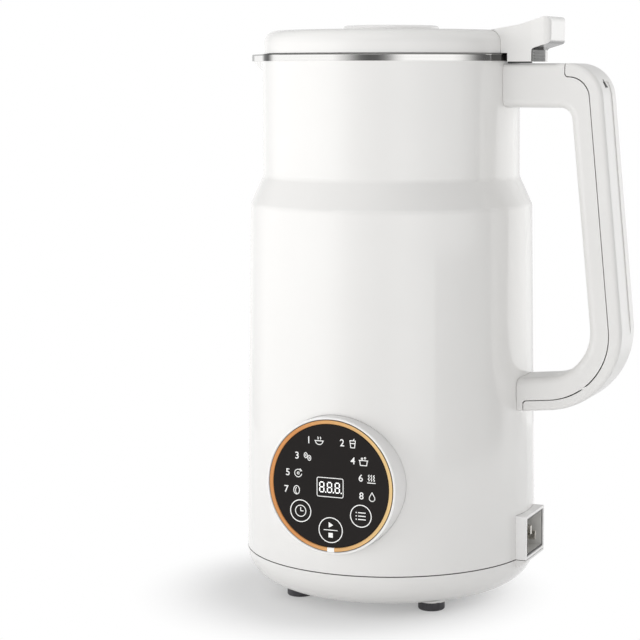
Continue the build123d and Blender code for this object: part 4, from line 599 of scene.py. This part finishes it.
# A plain sign beside each number, as strokes round its own middle
waves = [[(x + 0.3 * math.sin(2.2 * step), -0.9 + 0.45 * step) for step in range(7)]
         for x in (-1.2, 0.0, 1.2)]
bowl = [arc((0, 0.1), (1.8, 1.7), 180, 360), [(-2.1, 0.1), (2.1, 0.1)],
        [(-0.6, 0.8), (-0.4, 1.3), (-0.7, 1.8)], [(0.6, 0.8), (0.8, 1.3), (0.5, 1.8)]]
tumbler = [[(-1.3, 1.4), (-0.9, -1.7), (0.9, -1.7), (1.3, 1.4), (-1.3, 1.4)],
           [(-1.1, 0.2), (1.1, 0.2)], [(0.2, 1.4), (0.7, 2.2)]]
beans = [arc((-0.8, 0.5), (0.75, 1.15), 0, 360), arc((0.9, -0.6), (0.75, 1.15), 0, 360),
         [(-0.8, 0.1), (-0.8, 0.9)], [(0.9, -1.0), (0.9, -0.2)]]
boiling_pot = [[(-1.8, 0.6), (-1.5, -1.6), (1.5, -1.6), (1.8, 0.6)], [(-2.1, 0.6), (2.1, 0.6)],
               arc((-0.7, 1.4), (0.35, 0.35), 0, 360, 8), arc((0.7, 1.7), (0.35, 0.35), 0, 360, 8)]
whirl = [arc((0, 0), (1.7, 1.7), 60, 350, 18), [(0.9, 1.0), (1.7, 1.1), (0.9, 2.0)],
         arc((0, 0), (0.5, 0.5), 0, 360, 8)]
warmth = waves + [[(-1.9, -1.7), (1.9, -1.7)]]
nut = [arc((0, 0), (1.4, 1.9), 0, 360, 16), arc((0, -0.2), (0.5, 1.3), 90, 270, 8)]
drop = [arc((0, -0.6), (1.3, 1.3), 150, 390, 12) + [(0.0, 2.0), (-1.13, 0.05)]]
signs = bmesh.new()
for strokes, (x, y) in zip((bowl, tumbler, beans, boiling_pot, whirl, warmth, nut, drop),
                           programme_places):
    for points in strokes:
        stroke(signs, points, (x + sign_shift, y))
piece("programme_signs", on_glass(signs), print_finish, "base")

# Key rings with plain signs: a clock, play and stop with a line between, and a list
left_key, middle_key, right_key = (-14.4, 49.8), (0.0, 42.3), (14.4, 49.8)
side_radius, middle_radius, clock_radius = 5.1, 5.8, 2.7
minute_hand, hour_hand = 1.7, 1.5
middle_line, play_radius, stop_size, sign_rise = 6.6, 1.45, 2.1, 2.3
list_line, list_point, row_pitch = 3.6, 0.5, 1.5
hour_hand_x, play_x, list_line_x, list_point_x = 0.6, -0.2, 0.5, -2.2
keys = bmesh.new()
for centre, radius in ((left_key, side_radius), (middle_key, middle_radius),
                       (right_key, side_radius)):
    ring(keys, centre, radius)
ring(keys, left_key, clock_radius, sign_line, 40)
bar(keys, (left_key[0], left_key[1] + minute_hand / 2), (sign_line, minute_hand))
bar(keys, (left_key[0] + hour_hand_x, left_key[1]), (hour_hand, sign_line))
bar(keys, middle_key, (middle_line, sign_line))
for row in (-1, 0, 1):
    height = right_key[1] + row_pitch * row
    bar(keys, (right_key[0] + list_line_x, height), (list_line, print_line))
    bar(keys, (right_key[0] + list_point_x, height), (list_point, list_point))
play = bmesh.ops.create_circle(keys, segments=3, radius=play_radius, cap_ends=True)["verts"]
bmesh.ops.rotate(keys, matrix=Matrix.Rotation(math.radians(-90), 3, "Z"), verts=play)
bmesh.ops.translate(keys, vec=(middle_key[0] + play_x, middle_key[1] + sign_rise, 0), verts=play)
thicken(keys, list(play[0].link_faces))
bar(keys, (middle_key[0], middle_key[1] - sign_rise), (stop_size, stop_size))
piece("key_signs", on_glass(keys), print_finish, "base")

# Display: a frame line with rounded corners, and three seven-segment eights with their points
display_middle = (-0.2, 61.4)
frame_size, frame_line, frame_corner = (12.8, 8.8), 0.34, 0.9
display = bmesh.new()
outline = bmesh.ops.create_grid(display, x_segments=1, y_segments=1, size=0.5)["verts"]
bmesh.ops.scale(display, vec=(*frame_size, 1), verts=outline)
bmesh.ops.bevel(display, geom=outline, offset=frame_corner, offset_type="OFFSET",
                affect="VERTICES", segments=4, profile=0.5, material=-1)
bmesh.ops.inset_region(display, faces=list(display.faces), thickness=frame_line,
                       use_boundary=True)
inside = max(display.faces, key=lambda face: face.calc_area())
bmesh.ops.delete(display, geom=[inside], context="FACES_ONLY")
thicken(display, list(display.faces))
bmesh.ops.translate(display, vec=(*display_middle, 0), verts=display.verts)
piece("display_frame", on_glass(display), print_finish, "base")

digit_pitch, digit_width, digit_height, segment = 3.7, 2.0, 4.4, 0.5
digits_left, point_gap, point_size = 0.25, 0.85, 0.55
digits = bmesh.new()
for column in (-1, 0, 1):
    middle = display_middle[0] + column * digit_pitch - digits_left
    for level in (-1, 0, 1):
        bar(digits, (middle, display_middle[1] + level * digit_height / 2),
            (digit_width - segment, segment))
    for side in (-1, 1):
        for level in (-1, 1):
            bar(digits, (middle + side * digit_width / 2,
                         display_middle[1] + level * digit_height / 4),
                (segment, digit_height / 2 - segment))
    bar(digits, (middle + digit_width / 2 + point_gap, display_middle[1] - digit_height / 2),
        (point_size, point_size))
piece("display_digits", on_glass(digits), digit_finish, "base")


def eased(shape, radius):
    """Rounds all edges of a piece that was made in millimetres, and turns it to metres."""
    bmesh.ops.bevel(shape, geom=list(shape.edges), offset=radius, affect="EDGES", segments=2,
                    profile=0.5, material=-1)
    bmesh.ops.scale(shape, vec=(MM, MM, MM), verts=shape.verts)
    return shape


# Grey catch plate on the tail block's back, under the thumb tab, with three finger ribs
tail_back, tail_bottom = 71.45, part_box("lid_tab")[0].z / MM
catch_size, rib_size = (0.5, 18.8, 5.0), (0.5, 16.0, 0.5)
catch_y, catch_rise, catch_ease, rib_rise, rib_pitch = -2.4, 2.6, 0.12, 0.35, 1.3
catch_x, catch_z = tail_back + catch_size[0] / 2, tail_bottom + catch_rise
catch = bmesh.new()
block(catch, (catch_x, catch_y, catch_z), catch_size)
for level in (-1, 0, 1):
    block(catch, (catch_x + rib_rise, catch_y, catch_z + level * rib_pitch), rib_size)
piece("tail_catch", eased(catch, catch_ease), catch_grey, "lid")

# Black strip under the tail block's near edge, over the handle's arm: painted shade for the gap
# between them
strip_size, strip_ease = (10.6, 2.6, 0.68), 0.1
strip_x, strip_y, strip_drop = 65.5, -10.1, 0.33
gap_shade_strip = bmesh.new()
block(gap_shade_strip, (strip_x, strip_y, tail_bottom - strip_drop), strip_size)
piece("tail_gap_shade_strip", eased(gap_shade_strip, strip_ease), black_nylon, "lid")

# Black wedge on the handle's outer face: painted shade at the top of the grip inset, a thin wedge
# that lies in the face and reaches as far in as out
slit_corners = [(101.3, -2.6, 238.9), (102.65, -2.3, 235.4), (102.65, 1.0, 235.4)]
slit_depth, slit_outwards = 0.25, Vector((0.9, 0, 0.44))
slit_reach = slit_depth * slit_outwards.normalized()
slit_shade = bmesh.new()
wedge = slit_shade.faces.new([slit_shade.verts.new(Vector(corner) - slit_reach) for corner in slit_corners])
thicken(slit_shade, [wedge], 2 * slit_reach)
bmesh.ops.scale(slit_shade, vec=(MM, MM, MM), verts=slit_shade.verts)
piece("grip_slit_shade", slit_shade, black_nylon, "base")


def wrapped(shape, radius):
    """Bends a flat drawing round the inside of the jug: X runs along the wall."""
    bmesh.ops.triangulate(shape, faces=shape.faces)
    for vert in shape.verts:
        angle = vert.co.x / radius
        depth = radius - vert.co.z
        vert.co = Vector((depth * math.sin(angle), depth * math.cos(angle), vert.co.y)) * MM
    bmesh.ops.recalc_face_normals(shape, faces=shape.faces)
    return shape


# Level marks with plain numbers, etched in the jug's wall at the back: one for each tenth of a
# litre, which stands a little higher than in a straight jug, since the bottom is rounded
jug_radius, jug_floor, litre_height, round_rise = 53.0, 80.0, 113.3, 3.0
long_mark, short_mark, mark_line, mark_depth = 14.0, 8.0, 0.6, 0.05
label_size, label_x, wall_gap = 5.0, 15.5, 0.01
marks = bmesh.new()
for tenths in range(5, 13):
    level = jug_floor + tenths * litre_height / 10 + round_rise
    labelled = tenths in (6, 8, 10, 12)
    length = long_mark if labelled else short_mark
    for part in range(int(length)):
        bar(marks, (-length / 2 + part + 0.5, level), (1.0, mark_line), thickness=mark_depth)
    if labelled:
        join(marks, lettering(str(100 * tenths), label_size), (label_x, level))
piece("level_marks", wrapped(marks, jug_radius - wall_gap), mark_finish, "base")


# Studio, in metres: the photograph's camera, six lamps, a dark flag, a world and a floor

scene = bpy.context.scene
scene.view_settings.view_transform = "Standard"

camera_data = bpy.data.cameras.new("photograph_view")
camera_data.lens = 108.4
camera_data.sensor_width = 36.0
camera_data.shift_x = -0.11125
camera = bpy.data.objects.new("photograph_view", camera_data)
camera.location = (0.331, -0.8327, 0.2432)
look_down, look_left = 7.4, 21.68
camera.rotation_euler = (math.radians(90 - look_down), 0, math.radians(look_left))
scene.collection.objects.link(camera)
scene.camera = camera


def lamp(name, spot, target, size, power, height=None):
    """A soft rectangular lamp that faces its target, and that camera and gloss don't see: the
    world's walls give the reflections."""
    data = bpy.data.lights.new(name, "AREA")
    data.shape = "RECTANGLE"
    data.size, data.size_y = size, height or size
    data.energy = power
    made = bpy.data.objects.new(name, data)
    made.location = spot
    made.rotation_euler = (Vector(target) - Vector(spot)).to_track_quat("-Z", "Y").to_euler()
    made.visible_camera = False
    made.visible_glossy = False
    scene.collection.objects.link(made)


lamp("key_lamp", (-0.95, -1.15, 0.16), (0, 0, 0.12), 0.9, 5.95)
lamp("front_lamp", (0.2, -1.5, 0.16), (0, 0, 0.12), 0.8, 4.1)
lamp("side_lamp", (-1.2, -0.45, 0.2), (0, 0, 0.14), 1.0, 3.4, 1.2)
lamp("rear_lamp", (0.65, 1.13, 0.3), (0, 0, 0.14), 1.3, 6.0, 1.5)
lamp("low_lamp", (0.3, -0.1, 0.02), (0.06, -0.03, 0.03), 0.08, 0.035)
lamp("top_lamp", (0, 0, 0.7), (0, 0, 0.2), 0.06, 0.6)


def stage_piece(name, shape, finish):
    """Makes a piece of the studio from a bmesh, with its finish."""
    mesh = bpy.data.meshes.new(name)
    shape.to_mesh(mesh)
    shape.free()
    made = bpy.data.objects.new(name, mesh)
    scene.collection.objects.link(made)
    mesh.materials.append(finish)
    return made


# Dark flag beside the lower body, which only gloss sees: it ends the front panel's reflection
flag_near, flag_far, flag_top = (0.375, -0.277), (0.468, 0.03), 0.138
flag_finish, tree, shader = material("dark_flag_cloth", Roughness=1.0, Specular_IOR_Level=0.0,
                                     Emission_Color=grey(1), Emission_Strength=0.3)
tint(tree, shader, blotches(tree, 5.0), "050505", "0A0A0A")
flag_shape = bmesh.new()
flag_shape.faces.new([flag_shape.verts.new(corner) for corner in (
    (*flag_near, 0), (*flag_far, 0), (*flag_far, flag_top), (*flag_near, flag_top))])
flag = stage_piece("dark_flag", flag_shape, flag_finish)
for kind in ("camera", "diffuse", "shadow", "transmission", "volume_scatter"):
    setattr(flag, "visible_" + kind, False)

# Walls of the studio round the object, as metal and gloss see them: (heading in degrees, share
# of the level). Diffuse light comes evenly from all round instead.
wall_stops = [(-180, 1.0), (-120, 1.0), (-108, 0.62), (-100, 0.3), (-95, 0.15), (-88, 0.1),
              (-80, 0.11), (-74, 0.22), (-69, 0.42), (-63, 0.8), (-56, 1.0), (-14, 1.0),
              (-5, 0.85), (4, 0.5), (8, 0.33), (13, 0.17), (20, 0.1), (28, 0.1), (36, 1.0),
              (46, 1.35), (70, 1.5), (82, 1.1), (95, 0.75), (111, 0.68), (119, 1.0),
              (124, 0.88), (139, 0.88), (145, 0.7), (158, 0.7), (166, 0.9), (172, 1.0)]
wall_level, ambient_level = 1.15, 0.825
# The ceiling is darker than the walls, and most of all as gloss shows it: share of the light
# that comes from a rise of ceiling_rise and more, where straight up is 1
ceiling_share, ceiling_share_in_gloss, ceiling_rise = 0.46, 0.35, 0.7
# High up, gloss and metal see an even overhead panel, which keeps the rim's top and the jug light
panel_level, panel_from, panel_full = 0.5, 0.28, 0.55

world = bpy.data.worlds.new("studio")
scene.world = world
world.use_nodes = True
tree = world.node_tree
tree.nodes.clear()
rays = add(tree, "LightPath")
glossy = rays.outputs["Is Glossy Ray"]
heading = add(tree, "SeparateXYZ", {"Vector": add(tree, "TexCoord").outputs["Generated"]})
turn = add(tree, "Math", {0: heading.outputs["Y"], 1: heading.outputs["X"]}, operation="ARCTAN2")
share = add(tree, "MapRange", {"Value": turn.outputs["Value"], "From Min": -math.pi,
                               "From Max": math.pi})
walls = add(tree, "ValToRGB", {"Fac": share.outputs["Result"]})
stops = walls.color_ramp.elements
while len(stops) > 1:
    stops.remove(stops[-1])
stops[0].position = 0
stops[0].color = grey(wall_level * wall_stops[0][1])
for degrees, level in wall_stops[1:]:
    stops.new((degrees + 180) / 360).color = grey(wall_level * level)
around = add(tree, "Mix", {"Factor": glossy, 6: grey(ambient_level),
                           7: walls.outputs["Color"]}, data_type="RGBA")
darkest = add(tree, "MapRange", {"Value": glossy, "To Min": ceiling_share,
                                 "To Max": ceiling_share_in_gloss})
ceiling = add(tree, "MapRange", {"Value": heading.outputs["Z"], "From Max": ceiling_rise,
                                 "To Min": 1.0, "To Max": darkest.outputs["Result"]})
dimmed = add(tree, "VectorMath", {0: around.outputs[2], "Scale": ceiling.outputs["Result"]},
             operation="SCALE")
overhead = add(tree, "MapRange", {"Value": heading.outputs["Z"], "From Min": panel_from,
                                  "From Max": panel_full})
panel_share = add(tree, "Math", {0: overhead.outputs["Result"], 1: glossy}, operation="MULTIPLY")
lit_above = add(tree, "Mix", {"Factor": panel_share.outputs["Value"],
                              6: dimmed.outputs["Vector"], 7: grey(panel_level)},
                data_type="RGBA")
seen = add(tree, "Math", {0: rays.outputs["Is Camera Ray"],
                          1: rays.outputs["Is Transmission Ray"]}, operation="MAXIMUM")
shown = add(tree, "Mix", {"Factor": seen.outputs["Value"], 6: lit_above.outputs[2],
                          7: grey(1)}, data_type="RGBA")
background = add(tree, "Background", {"Color": shown.outputs[2], "Strength": 1.0})
add(tree, "OutputWorld", {"Surface": background.outputs["Background"]})

# Floor: a pale surface that keeps the shadow near the object and fades to the white backdrop
floor_half, fade_middle, fade_from, fade_full = 0.45, (-0.017, -0.017, 0), 0.045, 0.102
least_glow = 0.3
floor_finish, tree, shader = material("matt_white_floor", Roughness=0.6)
tint(tree, shader, blotches(tree, 90.0), "F0F0F0", "F4F4F4")
away = add(tree, "VectorMath", {0: add(tree, "TexCoord").outputs["Object"], 1: fade_middle},
           operation="DISTANCE")
fade = add(tree, "MapRange", {"Value": away.outputs["Value"], "From Min": fade_from,
                              "From Max": fade_full, "To Min": least_glow},
           interpolation_type="SMOOTHSTEP")
rays = add(tree, "LightPath")
looking = add(tree, "Math", {0: rays.outputs["Is Camera Ray"], 1: rays.outputs["Is Glossy Ray"]},
              operation="MAXIMUM")
only_seen = add(tree, "Math", {0: looking.outputs["Value"], 1: fade.outputs["Result"]},
                operation="MULTIPLY")
glow = add(tree, "Emission", {"Strength": 1.0})
mixed = add(tree, "MixShader", {0: only_seen.outputs["Value"], 1: shader.outputs["BSDF"],
                                2: glow.outputs["Emission"]})
tree.links.new(mixed.outputs["Shader"], tree.nodes["Material Output"].inputs["Surface"])
floor_shape = bmesh.new()
bmesh.ops.create_grid(floor_shape, x_segments=8, y_segments=8, size=floor_half)
floor = stage_piece("floor", floor_shape, floor_finish)
